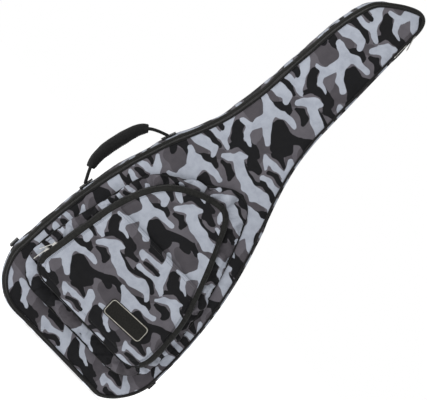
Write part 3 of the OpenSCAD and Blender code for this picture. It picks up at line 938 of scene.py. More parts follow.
def teeth(name, path, nrm, ydir, body, reps, phase, pitch=2.3, half=(0.72, 1.5, 1.0)):
    """Coil teeth along a zip: one small rounded block for each turn of the coil."""
    s = np.r_[0, np.cumsum(np.linalg.norm(np.diff(path, axis=0), axis=1))]
    n = int(s[-1] / pitch)
    m = (np.arange(n) + phase) * pitch
    m = m[m < s[-1]]
    c = np.stack([np.interp(m, s, path[:, k]) for k in range(3)], 1)
    t = np.stack([np.interp(m + 0.7, s, path[:, k]) for k in range(3)], 1) - np.stack([np.interp(m - 0.7, s, path[:, k]) for k in range(3)], 1)
    t /= np.linalg.norm(t, axis=1)[:, None] + 1e-12
    nn = np.stack([np.interp(m, s, nrm[:, k]) for k in range(3)], 1)
    nn /= np.linalg.norm(nn, axis=1)[:, None]
    yv = np.broadcast_to(np.array([0.0, ydir, 0.0]), c.shape)
    v, f = boxes(c, t, yv, nn, half[0], half[1], half[2], 0.62)
    ob = mesh_object(name, v, [f], "coil", smooth=False)
    return place(ob, body, reps)


zp = ring3(P, N2, ZL - 0.9 + tw, Y_ZIP + 1.35)[ZIP_I]
teeth("shell_zip_teeth", zp, N3[ZIP_I], 1, "shell", ("shell_zip_coil",), 0.25)
zp = ring3(P, N2, ZL - 0.9 + tw, Y_ZIP - 1.35)[ZIP_I]
teeth("lid_zip_teeth", zp, N3[ZIP_I], -1, "lid", ("lid_zip_coil",), 0.75)

# ---- hinge side: one cloth that bends from the shell to the lid
hx = P[HIN_I]
HROWS = 30
prof = []
for k in range(HROWS):
    t = k / (HROWS - 1)
    y = Y_ZIP + 15.6 - t * 26.6
    d = (ZL - 8.6) + 9.6 * (1 - (1 - min(1, t * 1.35)) ** 1.5) + (0.9 if t > 0.7 else 0) * (t - 0.7) / 0.3
    prof.append((d, y))
hv, hr = [], []
for k, (d, y) in enumerate(prof):
    w = field(np.c_[S_ARC, np.full(NB, y * 1.5)], 42, 51) * 0.5 * math.sin(math.pi * k / (HROWS - 1))
    hv.append(ring3(P, N2, d + w, y)[HIN_I])
    hr.append(np.stack([np.full(len(HIN_I), float(y) + d * 0.6), S_ARC[HIN_I], np.zeros(len(HIN_I))], 1))
hv, hr = np.vstack(hv), np.vstack(hr)
hf = ring_faces(HROWS, len(HIN_I), wrap=False)


def blended(name, v, faces, mat, rc, reps=(), thick=None):
    ob = mesh_object(name, v, faces, mat, rc)
    if thick:
        solidify(ob, thick)
        bpy.context.view_layer.update()
        dg = bpy.context.evaluated_depsgraph_get()
        me = bpy.data.meshes.new_from_object(ob.evaluated_get(dg), preserve_all_data_layers=True, depsgraph=dg)
        ob.modifiers.clear()
        ob.data = me
        smooth_all(me)
    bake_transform(ob)
    if reps:
        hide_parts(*reps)
    return ob


blended("hinge_cloth", hv, [hf], "camo", hr, ("hinge_gusset",), 1.2)
HL_I = HIN_I[:-6] if P[HIN_I[-1], 1] > P[HIN_I[0], 1] else HIN_I[6:]
hv2 = np.vstack([ring3(P, N2, 14.9, -28.6 - 9.6 * k / 15)[HL_I] for k in range(16)])
hr2 = np.vstack([np.stack([np.full(len(HL_I), k * 2.6), S_ARC[HL_I], np.zeros(len(HL_I))], 1) for k in range(16)])
blended("hinge_lining", hv2, [ring_faces(16, len(HL_I), wrap=False)[:, ::-1]], "lining", hr2, (), 0.8)

# ---- lid: edge wall, crowned front, lining
v, rc = add_rings(P, N2, [(FI + 0.1, Y_ZIP - 4.6), (FI + 0.1, Y_ZIP - 8), (FI - 0.1, Y_ZIP - 11.5), (FI + 0.4, Y_FRONT + 0.2)], S_ARC)
edge = mesh_object("lid_edge_cloth", v, [ring_faces(4, NB)], "camo", rc)
solidify(edge, 1.4)
place(edge, "lid")

# the lid is cut at a slant across the same cloth
SL = np.stack([LA, LB], 1) @ np.linalg.inv(np.stack([LA, np.array([27.0, 195.0])], 1))
SL0 = np.array([-85.0, 175.0]) - SL @ np.array([10.0, 680.0])


def lid_cloth(q):
    return q @ SL.T + SL0


lv2, lf = cdt(LID_B, 5.0)
ld = seg_dist(lv2, LID_B)[0]
ly = lid_depth(lv2, ld)
pre = [(FI + 0.6, Y_FRONT + 1.0), (FI + 1.3, Y_FRONT - 0.1), (FI + 2.6, Y_FRONT - 0.8)]
rows = [ring3(P, N2, d, y) for d, y in pre]
nb = NB * len(pre)
pv = np.stack([lv2[:, 0], ly, lv2[:, 1]], 1)
v = np.vstack(rows + [pv])
rc = np.stack([v[:, 0], v[:, 2], np.zeros(len(v))], 1)
fr = ring_faces(len(pre) + 1, NB)
front = mesh_object("lid_front_cloth", v, [fr, lf + nb], "camo", rc, cloth=lid_cloth(v[:, [0, 2]]))
solidify(front, 1.6)
place(front, "lid", ("lid_cover",))

I_IN = clean_offset(P, N2, 18.0, 420)
iv2, if2 = cdt(I_IN, 11.0)
idd = seg_dist(iv2, I_IN)[0]
iy = Y_ZIP - 2.6 + 0.5 * field(iv2, 110, 61) * expfall(idd, 20)
rows = [ring3(P, N2, d, y) for d, y in [(FI + 0.2, Y_ZIP - 4.6), (FI + 1.4, Y_ZIP - 3.4), (FI + 3.6, Y_ZIP - 2.8), (18.6, Y_ZIP - 2.6)]]
v = np.vstack(rows + [np.stack([iv2[:, 0], iy, iv2[:, 1]], 1)])
rc = np.stack([v[:, 0], v[:, 2], np.zeros(len(v))], 1)
ob = mesh_object("lid_inner_lining", v, [ring_faces(4, NB)[:, ::-1], (if2 + 4 * NB)[:, ::-1]], "lining", rc)
solidify(ob, 0.9)
place(ob, "lid", ("lid_lining", "lid_foam"))

# ---- shell lining: the bowl the guitar lies in
LIN_Y = cad("back_lining")[0][1]
prof = [(ZL + 0.2, Y_ZIP + 3.2), (ZL + 1.6, Y_ZIP + 4.4), (14.2, Y_ZIP + 5.2), (15.4, Y_ZIP + 7.5), (15.8, Y_ZIP + 12), (15.7, -5), (15.6, 10), (15.8, 22), (16.8, 28), (19, 31.6), (23, LIN_Y - 0.2)]
bv2, bf2 = cdt(clean_offset(P, N2, 22.0, 400), 12.0)
v, rc = add_rings(P, N2, prof, S_ARC, lambda k, d, y: 0.7 * field(np.c_[S_ARC, np.full(NB, y)], 70, 63) * (0 < k < 10))
yb = LIN_Y - 0.4 - 0.5 * (1 + field(bv2, 130, 64))
v = np.vstack([v, np.stack([bv2[:, 0], yb, bv2[:, 1]], 1)])
rc = np.vstack([rc, np.stack([bv2[:, 0], bv2[:, 1], np.zeros(len(bv2))], 1)])
ob = mesh_object("shell_inner_lining", v, [ring_faces(len(prof), NB), bf2 + NB * len(prof)], "lining", rc)
solidify(ob, 0.9)
place(ob, "shell", ("side_lining", "side_foam", "back_lining", "back_foam"))

# ------------------------------------------------------------------ pocket
TOP_F = PF[:, 1] > 116.0
PZ_I = run_indices(TOP_F)
PH_I = run_indices(~TOP_F)
PH_I = np.r_[(PH_I[0] - 1) % NP, PH_I, (PH_I[-1] + 1) % NP]
PFN3 = np.stack([PFN[:, 0], np.zeros(NP), PFN[:, 1]], 1)


def flap_depth(g, d):
    y = -3.6 * expfall(d, 14) - 0.9 * field(g, 120, 71) * expfall(d, 20)
    y += 0.55 * field(g, 52, 72) * expfall(d, 12)
    y += 0.6 * field(g, 30, 73) * np.exp(-np.maximum(d, 0) / 14.0) * expfall(d, 3)
    return Y_FLAP + 2.2 + y


# soft side wall: from its seam on the lid out to the zip's rim
GR = 26
shift = 0
b_y = lid_depth(PB) + 0.6
rim = PF + PFN * 2.6
gus = []
for k in range(GR):
    t = k / (GR - 1)
    gx = PB * (1 - t) + rim * t
    rise = math.sin(t * math.pi / 2) ** 0.66
    y = b_y + (Y_PZIP + 9.2 - b_y) * rise
    puff = 6.2 * math.sin(math.pi * min(1, t * 1.1)) ** 0.75 if t < 0.91 else 0
    gx = gx + (PBN * (1 - t) + PFN * t) * puff
    gus.append(np.stack([gx[:, 0], y, gx[:, 1]], 1))
gus = np.array(gus)
G_ARC = arclen(PB)
tt = np.linspace(0, 1, GR)[:, None]
gn = np.stack([np.gradient(gus[..., k], axis=0) for k in range(3)], -1)
gt = np.roll(gus, -1, 1) - np.roll(gus, 1, 1)
gnrm = np.cross(gt, gn)
gnrm /= np.linalg.norm(gnrm, axis=2)[..., None]
gcoord = np.stack([np.broadcast_to(G_ARC, (GR, NP)), np.broadcast_to(tt * 60, (GR, NP))], -1).reshape(-1, 2)
fold = field(gcoord * [1.0, 0.28], 34, 81).reshape(GR, NP) + 0.8 * field(gcoord * [1.0, 0.6], 75, 82).reshape(GR, NP)
env = np.sin(np.pi * tt) ** 0.8


def gusset_mesh(name, pts, mat):
    rc = np.zeros((GR, NP, 3))
    rc[..., 0] = pts[..., 0] + 40
    rc[..., 1] = pts[..., 2] + 95
    rc[..., 2] = pts[..., 1] * 0.8
    return mesh_object(name, pts.reshape(-1, 3), [ring_faces(GR, NP)], mat, rc.reshape(-1, 3))


def cloth_relax(pts, pins, seed, press, grow, nframes, cap, dens=0.2, bend=0.6):
    """Cloth over a grid of points: the cloth is cut a little larger than its frame, so it buckles into folds."""
    rows, n = pts.shape[:2]
    ob = mesh_object("sim_tmp", pts.reshape(-1, 3) * 10.0, [ring_faces(rows, n)], None)
    rng = np.random.default_rng(seed)
    vg = ob.vertex_groups.new(name="pin")
    for i in pins:
        vg.add([int(i)], 1.0, "ADD")
    c = ob.modifiers.new("Cloth", "CLOTH")
    s = c.settings
    s.vertex_group_mass = "pin"
    s.quality = 6
    s.mass = dens
    s.tension_stiffness = 40
    s.compression_stiffness = 30
    s.shear_stiffness = 12
    s.bending_stiffness = bend
    s.shrink_min = -grow
    s.use_pressure = press > 0
    s.uniform_pressure_force = press
    s.effector_weights.gravity = 0.0
    s.air_damping = 2.0
    c.collision_settings.use_collision = False
    c.point_cache.frame_start, c.point_cache.frame_end = 1, nframes
    SC.frame_start, SC.frame_end = 1, nframes
    for fr_ in range(1, nframes + 1):
        SC.frame_set(fr_)
    dg = bpy.context.evaluated_depsgraph_get()
    ev = ob.evaluated_get(dg)
    co = np.zeros(rows * n * 3, np.float32)
    ev.data.vertices.foreach_get("co", co)
    me = ob.data
    bpy.data.objects.remove(ob)
    bpy.data.meshes.remove(me)
    SC.frame_set(1)
    out = co.reshape(rows, n, 3).astype(float) * 100.0
    mv = out - pts
    ln = np.linalg.norm(mv, axis=2)[..., None]
    return pts + mv * np.minimum(1, cap / np.maximum(ln, 1e-6))


# pleats where the wall turns a corner or is pushed together, quieter along the straights
crowd = 0.55 + 0.9 * np.exp(-((PB[:, 1] - 500) / 60.0) ** 2) + 0.9 * np.exp(-((PB[:, 1] - 95) / 45.0) ** 2) + 0.7 * (PB[:, 0] > 0) * np.exp(-((PB[:, 1] - 300) / 90.0) ** 2)
pleat = fold * env * crowd[None, :]
gpts = gus + gnrm * (pleat * 1.9)[..., None]
idx = np.arange(GR * NP).reshape(GR, NP)
pins = np.r_[idx[0], idx[-1]]
gpts = cloth_relax(gus + gnrm * (pleat * 0.9)[..., None], pins, 5, 0.6, 0.06, 18, 7.0) + gnrm * (pleat * 0.9)[..., None]
gus_ob = gusset_mesh("pocket_side_cloth", gpts, "camo")
solidify(gus_ob, 1.3)
place(gus_ob, "lid", ("pocket_side",))

# seam cord where the side wall is sewn to the lid; it is made thick, dark and forward so that it also stands in as
# painted shade for the crease under the wall's bulge
seam_and_shade_cord = np.stack([PB[:, 0] + PBN[:, 0] * 0.9, b_y - 2.1, PB[:, 1] + PBN[:, 1] * 0.9], 1)
ob = sweep("pocket_base_seam_and_shade_cord", seam_and_shade_cord, circle(2.1, 10), "piping", up=(0, -1, 0), closed=True)
place(ob, "lid")

PTOT = PF_ARC[-1] + np.linalg.norm(PF[0] - PF[-1])
PARC = PF_ARC.copy()
PARC[PZ_I] = unwrap_arc(PF_ARC, PZ_I, PTOT)
ptw = field(np.c_[PARC, PARC * 0], 60, 91) * 0.4
tape("pocket_rim_band", PF, PFN, PZ_I, [(-1.3, Y_PZIP + 1.7), (-1.7, Y_PZIP + 3.6), (-2.4, Y_PZIP + 6.2), (-3.2, Y_PZIP + 9.6)],
     "lid", ("pocket_rim_tape",), PARC, disp=ptw, flip=True)
tape("flap_zip_band", PF, PFN, PZ_I, [(-1.3, Y_PZIP - 1.7), (-0.9, Y_PZIP - 3.2), (0.6, Y_PZIP - 5.4), (3.4, Y_PZIP - 7.6), (7.2, Y_PZIP - 9.2), (11.2, Y_PZIP - 10.3)],
     "pocket_flap", ("flap_zip_tape",), PARC, disp=ptw)
teeth("pocket_rim_teeth", ring3(PF, PFN, -2.2 + ptw, Y_PZIP + 1.1)[PZ_I], PFN3[PZ_I], 1, "lid", ("pocket_rim_coil",), 0.25, 1.9, (0.6, 1.25, 0.85))
teeth("flap_zip_teeth", ring3(PF, PFN, -2.2 + ptw, Y_PZIP - 1.1)[PZ_I], PFN3[PZ_I], -1, "pocket_flap", ("flap_zip_coil",), 0.75, 1.9, (0.6, 1.25, 0.85))

# bottom fold of the flap
prof = [(-2.6 + 3.2 * (k / 15) ** 1.3, Y_PZIP + 9.6 - 14.2 * k / 15) for k in range(16)]
hv = np.vstack([ring3(PF, PFN, d, y)[PH_I] for d, y in prof])
hr = np.vstack([np.stack([hv[k * len(PH_I):(k + 1) * len(PH_I), 0] + 40, np.full(len(PH_I), y + 190.0), np.zeros(len(PH_I))], 1) for k, (d, y) in enumerate(prof)])
blended("pocket_hinge_cloth", hv, [ring_faces(16, len(PH_I), wrap=False)], "camo", hr, ("pocket_hinge_binding",), 1.0)

# flap: crowned front with rolled edge
FL_D0 = 12.0
fv2, ff = cdt(PF - PFN * FL_D0, 4.6)
fd = seg_dist(fv2, PF - PFN * FL_D0)[0]
fy = flap_depth(fv2, fd)
zw = np.clip((PF[:, 1] - 104.0) / 16.0, 0, 1) ** 2        # 1 where the zip runs, 0 along the bottom fold
pre = [(0.4, -4.2, 10.4, -8.9), (0.8, -5.4, 10.3, -9.9), (2.4, -6.9, 10.5, -10.7), (5.0, -8.1, 10.9, -11.2), (8.4, -9.1, 11.4, -11.4)]
rows = [ring3(PF, PFN, d0 * (1 - zw) + d1 * zw, Y_PZIP + y0 * (1 - zw) + y1 * zw) for d0, y0, d1, y1 in pre]
v = np.vstack(rows + [np.stack([fv2[:, 0], fy, fv2[:, 1]], 1)])
rc = np.stack([v[:, 0] + 150, v[:, 2] + 31, np.full(len(v), 40.0)], 1)
flap = mesh_object("flap_front_cloth", v, [ring_faces(len(pre) + 1, NP), ff + NP * len(pre)], "camo", rc, cloth=v[:, [0, 2]])
solidify(flap, 1.4)
place(flap, "pocket_flap", ("flap_panel",))
bv2, bff = cdt(clean_offset(PF, PFN, 2.0, 300), 13.0)
v = np.stack([bv2[:, 0], Y_PZIP - 4.3 + 0.6 * field(bv2, 90, 77), bv2[:, 1]], 1)
ob = mesh_object("flap_back_lining", v, [bff[:, ::-1]], "lining", np.stack([bv2[:, 0], bv2[:, 1], bv2[:, 0] * 0], 1))
solidify(ob, 0.8)
place(ob, "pocket_flap", ("flap_padding",))
# piping along the flap's bottom edge
i0 = np.array([i for i in PH_I])
ob = sweep("flap_bottom_piping", ring3(PF, PFN, 0.6, Y_PZIP - 5.6)[i0], circle(1.7, 8), "piping", up=PFN3[i0])
place(ob, "pocket_flap")
# inside of the pocket
pv2, pff = cdt(clean_offset(PB, PBN, 4.0, 300), 14.0)
pe = seg_dist(pv2, PB)[0]                           # lies back at its edge, under the side wall
v = np.stack([pv2[:, 0], lid_depth(pv2) - 1.2 + 1.1 * np.exp(-np.maximum(pe - 15, 0) / 9), pv2[:, 1]], 1)
ob = mesh_object("pocket_floor_lining", v, [pff], "lining", np.stack([pv2[:, 0], pv2[:, 1], pv2[:, 0] * 0], 1))
solidify(ob, 0.8)
place(ob, "lid")
olo, ohi = cad("pocket_organizer")


def panel_rect(x0, x1, z0, z1, r, h):
    b = rrect(x1 - x0, z1 - z0, r, 5) + [(x0 + x1) / 2, (z0 + z1) / 2]
    return resample(b, int(2 * (x1 - x0 + z1 - z0) / h), sig=0.5)


ob_b = panel_rect(olo[0], ohi[0], olo[2], ohi[2], 9, 6)
ov2, of_ = cdt(ob_b, 8.0)
od = seg_dist(ov2, ob_b)[0]
top = np.clip((ov2[:, 1] - olo[2]) / (ohi[2] - olo[2]), 0, 1)
oy = lid_depth(ov2) - 2.6 - 2.2 * expfall(od, 14) - 3.0 * top**3 * np.abs(np.sin(ov2[:, 0] * math.pi / 56)) * expfall(od, 6)
v = np.stack([ov2[:, 0], oy, ov2[:, 1]], 1)
ob = mesh_object("pocket_organizer_panel", v, [of_], "lining", np.stack([ov2[:, 0], ov2[:, 1], ov2[:, 0] * 0], 1))
solidify(ob, 1.0)
place(ob, "lid", ("pocket_organizer",))
rim_o = np.stack([ob_b[:, 0], lid_depth(ob_b) - 3.0, ob_b[:, 1]], 1)
place(sweep("organizer_binding", rim_o, circle(1.6, 8), "tape", up=(0, -1, 0), closed=True), "lid")

# ---- slip pocket on the flap
SLO, SHI = cad("slip_pocket")
SLIP_Z = SHI[2]
inn = PF - PFN * 12.6
keep = inn[:, 1] < SLIP_Z - 1.5
ki = run_indices(keep)
side_pts = inn[ki]
# ki runs counter-clockwise: down the left side, along the bottom, up the right side
a, b = side_pts[-1].copy(), side_pts[0].copy()
a = np.array([a[0], SLIP_Z])
b = np.array([b[0], SLIP_Z])
nm = int(abs(a[0] - b[0]) / 5)
mouth = np.stack([np.linspace(a[0], b[0], nm), np.full(nm, SLIP_Z) + 1.2 * np.sin(np.linspace(0, math.pi, nm) * 1.0)], 1)
loop = np.vstack([side_pts, mouth])
loop = resample(loop, 420, sig=0.6)
sv2, sf = cdt(loop, 4.6)
dd_all = seg_dist(sv2, PF - PFN * FL_D0)[0]
de = seg_dist(sv2, side_pts, closed=False)[0]
under = flap_depth(sv2, np.where(inside(sv2, PF - PFN * FL_D0), dd_all, 0))
xm = (sv2[:, 0] - b[0]) / (a[0] - b[0])
gape = np.exp(-(SLIP_Z - sv2[:, 1]) / 26.0) * np.sin(np.clip(xm, 0, 1) * math.pi) ** 0.8 * (1.1 + 1.0 * np.exp(-((xm - 0.68) / 0.2) ** 2) + 0.35 * field(sv2[:, :1] * [1.0], 70, 95))
sy = under - 1.0 - 1.3 * expfall(de, 9) - 2.1 * gape - 0.45 * field(sv2, 60, 96) * expfall(de, 12) - 0.35 * field(sv2 * [0.5, 1.3], 34, 97) * expfall(de, 10)


def slip_surface(g):
    """Depth of the slip pocket's face, from its nearest vertices."""
    out = np.zeros(len(g))
    for i, q in enumerate(np.asarray(g, float)):
        d = ((sv2 - q) ** 2).sum(1)
        j = np.argsort(d)[:4]
        w = 1 / (d[j] + 0.5)
        out[i] = (sy[j] * w).sum() / w.sum()
    return out


v = np.stack([sv2[:, 0], sy, sv2[:, 1]], 1)
rc = np.stack([v[:, 0] + 286, v[:, 2] + 118, np.full(len(v), 70.0)], 1)
slip = mesh_object("slip_pocket_cloth", v, [sf], "camo", rc, cloth=v[:, [0, 2]])
solidify(slip, 1.5)
place(slip, "pocket_flap", ("slip_pocket",))
msel = np.abs(loop[:, 1] - SLIP_Z) < 2.0
mi = run_indices(msel)
mp = loop[mi]
hem = np.stack([mp[:, 0], slip_surface(mp) - 0.1, mp[:, 1] + 0.3], 1)
ob = sweep("slip_pocket_hem", hem, circle(1.25, 8), "camo", up=(0, -1, 0))
place(ob, "pocket_flap")
ss = [stitches(np.stack([mp[:, 0], slip_surface(mp - [0, 7.5]) - 0.15, mp[:, 1] - 7.5], 1), (0, -1, 0), 4.2, 2.9, 0.3)]
inn2 = side_pts - PFN[ki] * 2.6
ss.append(stitches(np.stack([inn2[:, 0], slip_surface(inn2) - 0.15, inn2[:, 1]], 1), (0, -1, 0), 4.2, 2.9, 0.3))
v, f = join_parts(ss)
place(mesh_object("slip_pocket_stitches", v, [f], "thread"), "pocket_flap")

# ---- blank badge with a stitched border
BLO, BHI = cad("badge")
bc = (BLO + BHI) / 2
tilt = math.radians(3.5)
BW, BH = 106.0, 41.0


def badge_pts(q):
    q = np.asarray(q, float)
    return np.stack([bc[0] + q[:, 0] * math.cos(tilt) - q[:, 1] * math.sin(tilt), bc[2] + q[:, 0] * math.sin(tilt) + q[:, 1] * math.cos(tilt)], 1)


out_b = resample(rrect(BW, BH, 9.0, 8), 190)
bdv, bdf = cdt(out_b, 3.4)
gb = badge_pts(bdv)
sy0 = slip_surface(badge_pts(np.array([[x, z] for x in (-50, -25, 0, 25, 50) for z in (-15, 0, 15)])))
A = np.c_[np.ones(15), [x for x in (-50, -25, 0, 25, 50) for z in (-15, 0, 15)], [z for x in (-50, -25, 0, 25, 50) for z in (-15, 0, 15)]]
cf = np.linalg.lstsq(A, sy0, rcond=None)[0]
plane = lambda q: cf[0] + cf[1] * q[:, 0] + cf[2] * q[:, 1]
bd = seg_dist(bdv, out_b)[0]
by = plane(bdv) - 1.0 - 0.9 * expfall(bd, 1.1) - 0.35 * expfall(bd - 6, 10)
rows = [np.stack([badge_pts(out_b)[:, 0], plane(out_b) + o, badge_pts(out_b)[:, 1]], 1) for o in (1.2, 0.2, -0.6)]
n0 = len(out_b)
v = np.vstack(rows + [np.stack([gb[:, 0], by, gb[:, 1]], 1)])
rc = np.vstack([np.c_[out_b, out_b[:, :1] * 0]] * 3 + [np.c_[bdv, bdv[:, :1] * 0]])
ob = mesh_object("badge_patch", v, [ring_faces(4, n0), bdf + 3 * n0], "badge", rc)
place(ob, "pocket_flap", ("badge",))
ins = resample(rrect(BW - 5.6, BH - 5.6, 7.6, 8), 170)
bp = badge_pts(ins)
line = np.stack([bp[:, 0], plane(ins) - 2.15, bp[:, 1]], 1)
ob = sweep("badge_border", line, circle(0.85, 8, 0.5), "pale_thread", up=(0, -1, 0), closed=True)
place(ob, "pocket_flap")
edge_l = resample(rrect(BW - 1.8, BH - 1.8, 8.4, 8), 190)
ep = badge_pts(edge_l)
v, f = stitches(np.stack([ep[:, 0], plane(edge_l) - 1.75, ep[:, 1]], 1), (0, -1, 0), 2.4, 1.7, 0.28, closed=True)
place(mesh_object("badge_stitches", v, [f], "thread"), "pocket_flap")

# ------------------------------------------------------- straps, pads, handle


def obj_cloth(name, **kw):
    """The same cloth on pieces that carry no cloth coordinates of their own."""
    return make_cloth(name, use_obj=True, **kw)


obj_cloth("webbing_o", c1=srgb(24, 24, 24), c2=srgb(46, 46, 45), pu=1.7, pv=0.9, bump=0.8, dist=0.0005, sheen=0.2, wear=70.0)
obj_cloth("nylon", c1=srgb(25, 25, 26), c2=srgb(42, 42, 43), pu=0.8, pv=0.8, bump=0.6, dist=0.0003, sheen=0.2, wear=30.0)


def set_rc(me, co):
    at = me.attributes.get("rc") or me.attributes.new("rc", "FLOAT_VECTOR", "POINT")
    at.data.foreach_set("vector", np.asarray(co, np.float32).ravel())


def run_cloth(ob, nframes, press, seed=0, grow=0.03, bend=2.0, pin=None):
    c = ob.modifiers.new("Cloth", "CLOTH")
    s = c.settings
    s.quality = 5
    s.mass = 0.3
    s.tension_stiffness = s.compression_stiffness = 18
    s.shear_stiffness = 8
    s.bending_stiffness = bend
    s.shrink_min = -grow
    s.use_pressure = True
    s.uniform_pressure_force = press
    s.effector_weights.gravity = 0.0
    s.air_damping = 3.0
    c.collision_settings.use_collision = False
    if pin:
        s.vertex_group_mass = pin
    c.point_cache.frame_start, c.point_cache.frame_end = 1, nframes
    SC.frame_start, SC.frame_end = 1, nframes
    for fr_ in range(1, nframes + 1):
        SC.frame_set(fr_)
    dg = bpy.context.evaluated_depsgraph_get()
    ev = ob.evaluated_get(dg)
    co = np.zeros(len(ob.data.vertices) * 3, np.float32)
    ev.data.vertices.foreach_get("co", co)
    SC.frame_set(1)
    return co.reshape(-1, 3).astype(float)


def puffed(node, name, mat, body, voxel=5.0, press=3.0, cap=2.5, nframes=16, tuck=None):
    """A padded piece: the CAD solid's surface, sewn as cloth and blown up a little against its own seams."""
    src = NODES[node]
    me = src.data.copy()
    me.transform(src.matrix_world)
    me.materials.clear()
    tmp = bpy.data.objects.new("tmp_" + name, me)
    SC.collection.objects.link(tmp)
    m = tmp.modifiers.new("r", "REMESH")
    m.mode = "VOXEL"
    m.voxel_size = voxel * MM
    sm = tmp.modifiers.new("s", "SMOOTH")
    sm.factor, sm.iterations = 0.5, 5
    bpy.context.view_layer.update()
    dg = bpy.context.evaluated_depsgraph_get()
    nm = bpy.data.meshes.new_from_object(tmp.evaluated_get(dg), depsgraph=dg)
    bpy.data.objects.remove(tmp)
    n = len(nm.vertices)
    co = np.zeros(n * 3, np.float32)
    nm.vertices.foreach_get("co", co)
    p0 = co.reshape(-1, 3).astype(float)
    p1 = p0.copy()
    nm.vertices.foreach_set("co", (p0 * 10).astype(np.float32).ravel())
    sim = bpy.data.objects.new("sim_" + name, nm)
    SC.collection.objects.link(sim)
    q = run_cloth(sim, nframes, press) / 10.0
    q += p0.mean(0) - q.mean(0)
    bpy.data.objects.remove(sim)
    mv = q - p0
    ln = np.linalg.norm(mv, axis=1)[:, None]
    if np.isfinite(mv).all():
        p1 = p0 + mv * np.minimum(1, cap * MM / np.maximum(ln, 1e-9))
    if tuck is not None:
        p1 = p1 + tuck(p1 * 1000) * MM
    nm.vertices.foreach_set("co", p1.astype(np.float32).ravel())
    set_rc(nm, p1)
    nm.materials.clear()
    nm.materials.append(MATS[mat])
    smooth_all(nm)
    nm.name = name
    ob = bpy.data.objects.new(name, nm)
    SC.collection.objects.link(ob)
    sub = ob.modifiers.new("Subdivision", "SUBSURF")
    sub.levels = sub.render_levels = 1
    return place(ob, body, (node,))


puffed("neck_cradle", "neck_cradle_pad", "plush", "shell", 4.0, 2.5, 1.6)
puffed("headstock_pad", "headstock_bolster", "plush", "shell", 5.0, 2.5, 1.8)
puffed("base_pad", "base_bolster", "plush", "shell", 4.0, 2.5, 1.2)


def finish_cad(node, mat, bev=0.25, segs=2):
    """A hard or flat piece that keeps its CAD shape, with its edges eased."""
    ob = NODES[node]
    ob.data.materials.clear()
    ob.data.materials.append(MATS[mat])
    m = ob.modifiers.new("Bevel", "BEVEL")
    m.width = bev * MM
    m.segments = segs
    m.limit_method = "ANGLE"
    m.angle_limit = math.radians(32)
    m.harden_normals = True
    return ob


for nd, mt in (("neck_strap", "webbing_o"), ("ladder_locks", "buckle"), ("lower_anchor_tabs", "webbing_o"), ("handle_anchor_patches", "webbing_o"),
               ("hang_loop_patches", "webbing_o"), ("main_slider_upper", "gunmetal"), ("main_puller_upper", "gunmetal"), ("main_slider_lower", "gunmetal"),
               ("main_puller_lower", "gunmetal"), ("pocket_slider_upper", "nickel"), ("pocket_puller_upper", "nickel"), ("pocket_slider_lower", "nickel"), ("pocket_puller_lower", "nickel")):
    finish_cad(nd, mt, 0.2)


def box_x(cx, cz, w, h, y, tilt=0.0, ydir=1):
    """Box-and-cross stitching on a flat patch facing +Y or -Y, returned as (v, f)."""
    c, s = math.cos(tilt), math.sin(tilt)
    rot = lambda a: np.stack([cx + a[:, 0] * c - a[:, 1] * s, np.full(len(a), y), cz + a[:, 0] * s + a[:, 1] * c], 1)
    k = np.array([[-w / 2, -h / 2], [w / 2, -h / 2], [w / 2, h / 2], [-w / 2, h / 2]])
    parts = [stitches(rot(np.array(l, float)), (0, ydir, 0), 3.2, 2.3, 0.32, 0.1) for l in ([k[0], k[1]], [k[1], k[2]], [k[2], k[3]], [k[3], k[0]], [k[0], k[2]], [k[1], k[3]])]
    return join_parts(parts)


# ---- shoulder straps, padded, with a bound edge
def strap_line(sgn, n=90):
    c = np.vstack([bez([-36, 662], [-60, 560], [-118, 470], [-112, 380], 60), bez([-112, 380], [-109, 335], [-105, 300], [-100, 252], 40), [[-100, 252]]])
    c = resample(c, n, closed=False)
    t = np.clip((668 - c[:, 1]) / 420.0, 0, 1)
    y = 58 + 26 * np.sin(math.pi * t) ** 2
    x = c[:, 0] if sgn < 0 else -6 - c[:, 0]
    return np.stack([x, y, c[:, 1]], 1)


def pillow(w, h, n=40, p=2.6):
    a = np.arange(n) * 2 * math.pi / n
    c, s = np.cos(a), np.sin(a)
    x = np.sign(c) * np.abs(c) ** (2 / 4.2) * w / 2
    y = np.sign(s) * np.abs(s) ** (2 / p) * h / 2
    return np.stack([x, y], 1)


for sgn, tag in ((-1, "left"), (1, "right")):
    pl = strap_line(sgn)
    tt_ = np.linspace(0, 1, len(pl))
    sc = np.stack([1 - 0.10 * np.exp(-tt_ / 0.03) - 0.16 * np.exp(-(1 - tt_) / 0.05), 0.86 - 0.45 * np.exp(-tt_ / 0.04) - 0.45 * np.exp(-(1 - tt_) / 0.05) + 0.05 * np.sin(tt_ * 40 + sgn)], 1)
    ob = sweep("strap_pad_" + tag, pl, pillow(57.5, 11.0), "strapface", up=(0, 1, 0), scale=sc)
    place(ob, "shell", ("shoulder_strap_" + tag,))
    t, sd, up = frames(pl, (0, 1, 0))
    loop3 = np.vstack([pl + sd * (28.6 * sc[:, :1]), (pl - sd * (28.6 * sc[:, :1]))[::-1]])
    loop3 = resample(loop3, 420, sig=2.2)
    upv = (0, 1, 0)
    place(sweep("strap_binding_" + tag, loop3, rrect(3.4, 5.2, 1.5, 3), "tape", up=upv, closed=True), "shell")
    rows = [pl + sd * (k * sc[:, :1]) + up * (4.55 * sc[:, 1:2]) for k in (-24.0, 24.0)]
    v, f = join_parts([stitches(r[4:-4], up[4:-4], 4.6, 3.2, 0.35, 0.25) for r in rows])
    place(mesh_object("strap_stitches_" + tag, v, [f], "thread"), "shell")
    mid = pl[4:-4] + up[4:-4] * (4.7 * sc[4:-4, 1:2] + 0.3)
    place(sweep("strap_runner_" + tag, mid, rrect(24, 1.5, 0.6, 2), "webbing", up=up[4:-4]), "shell")

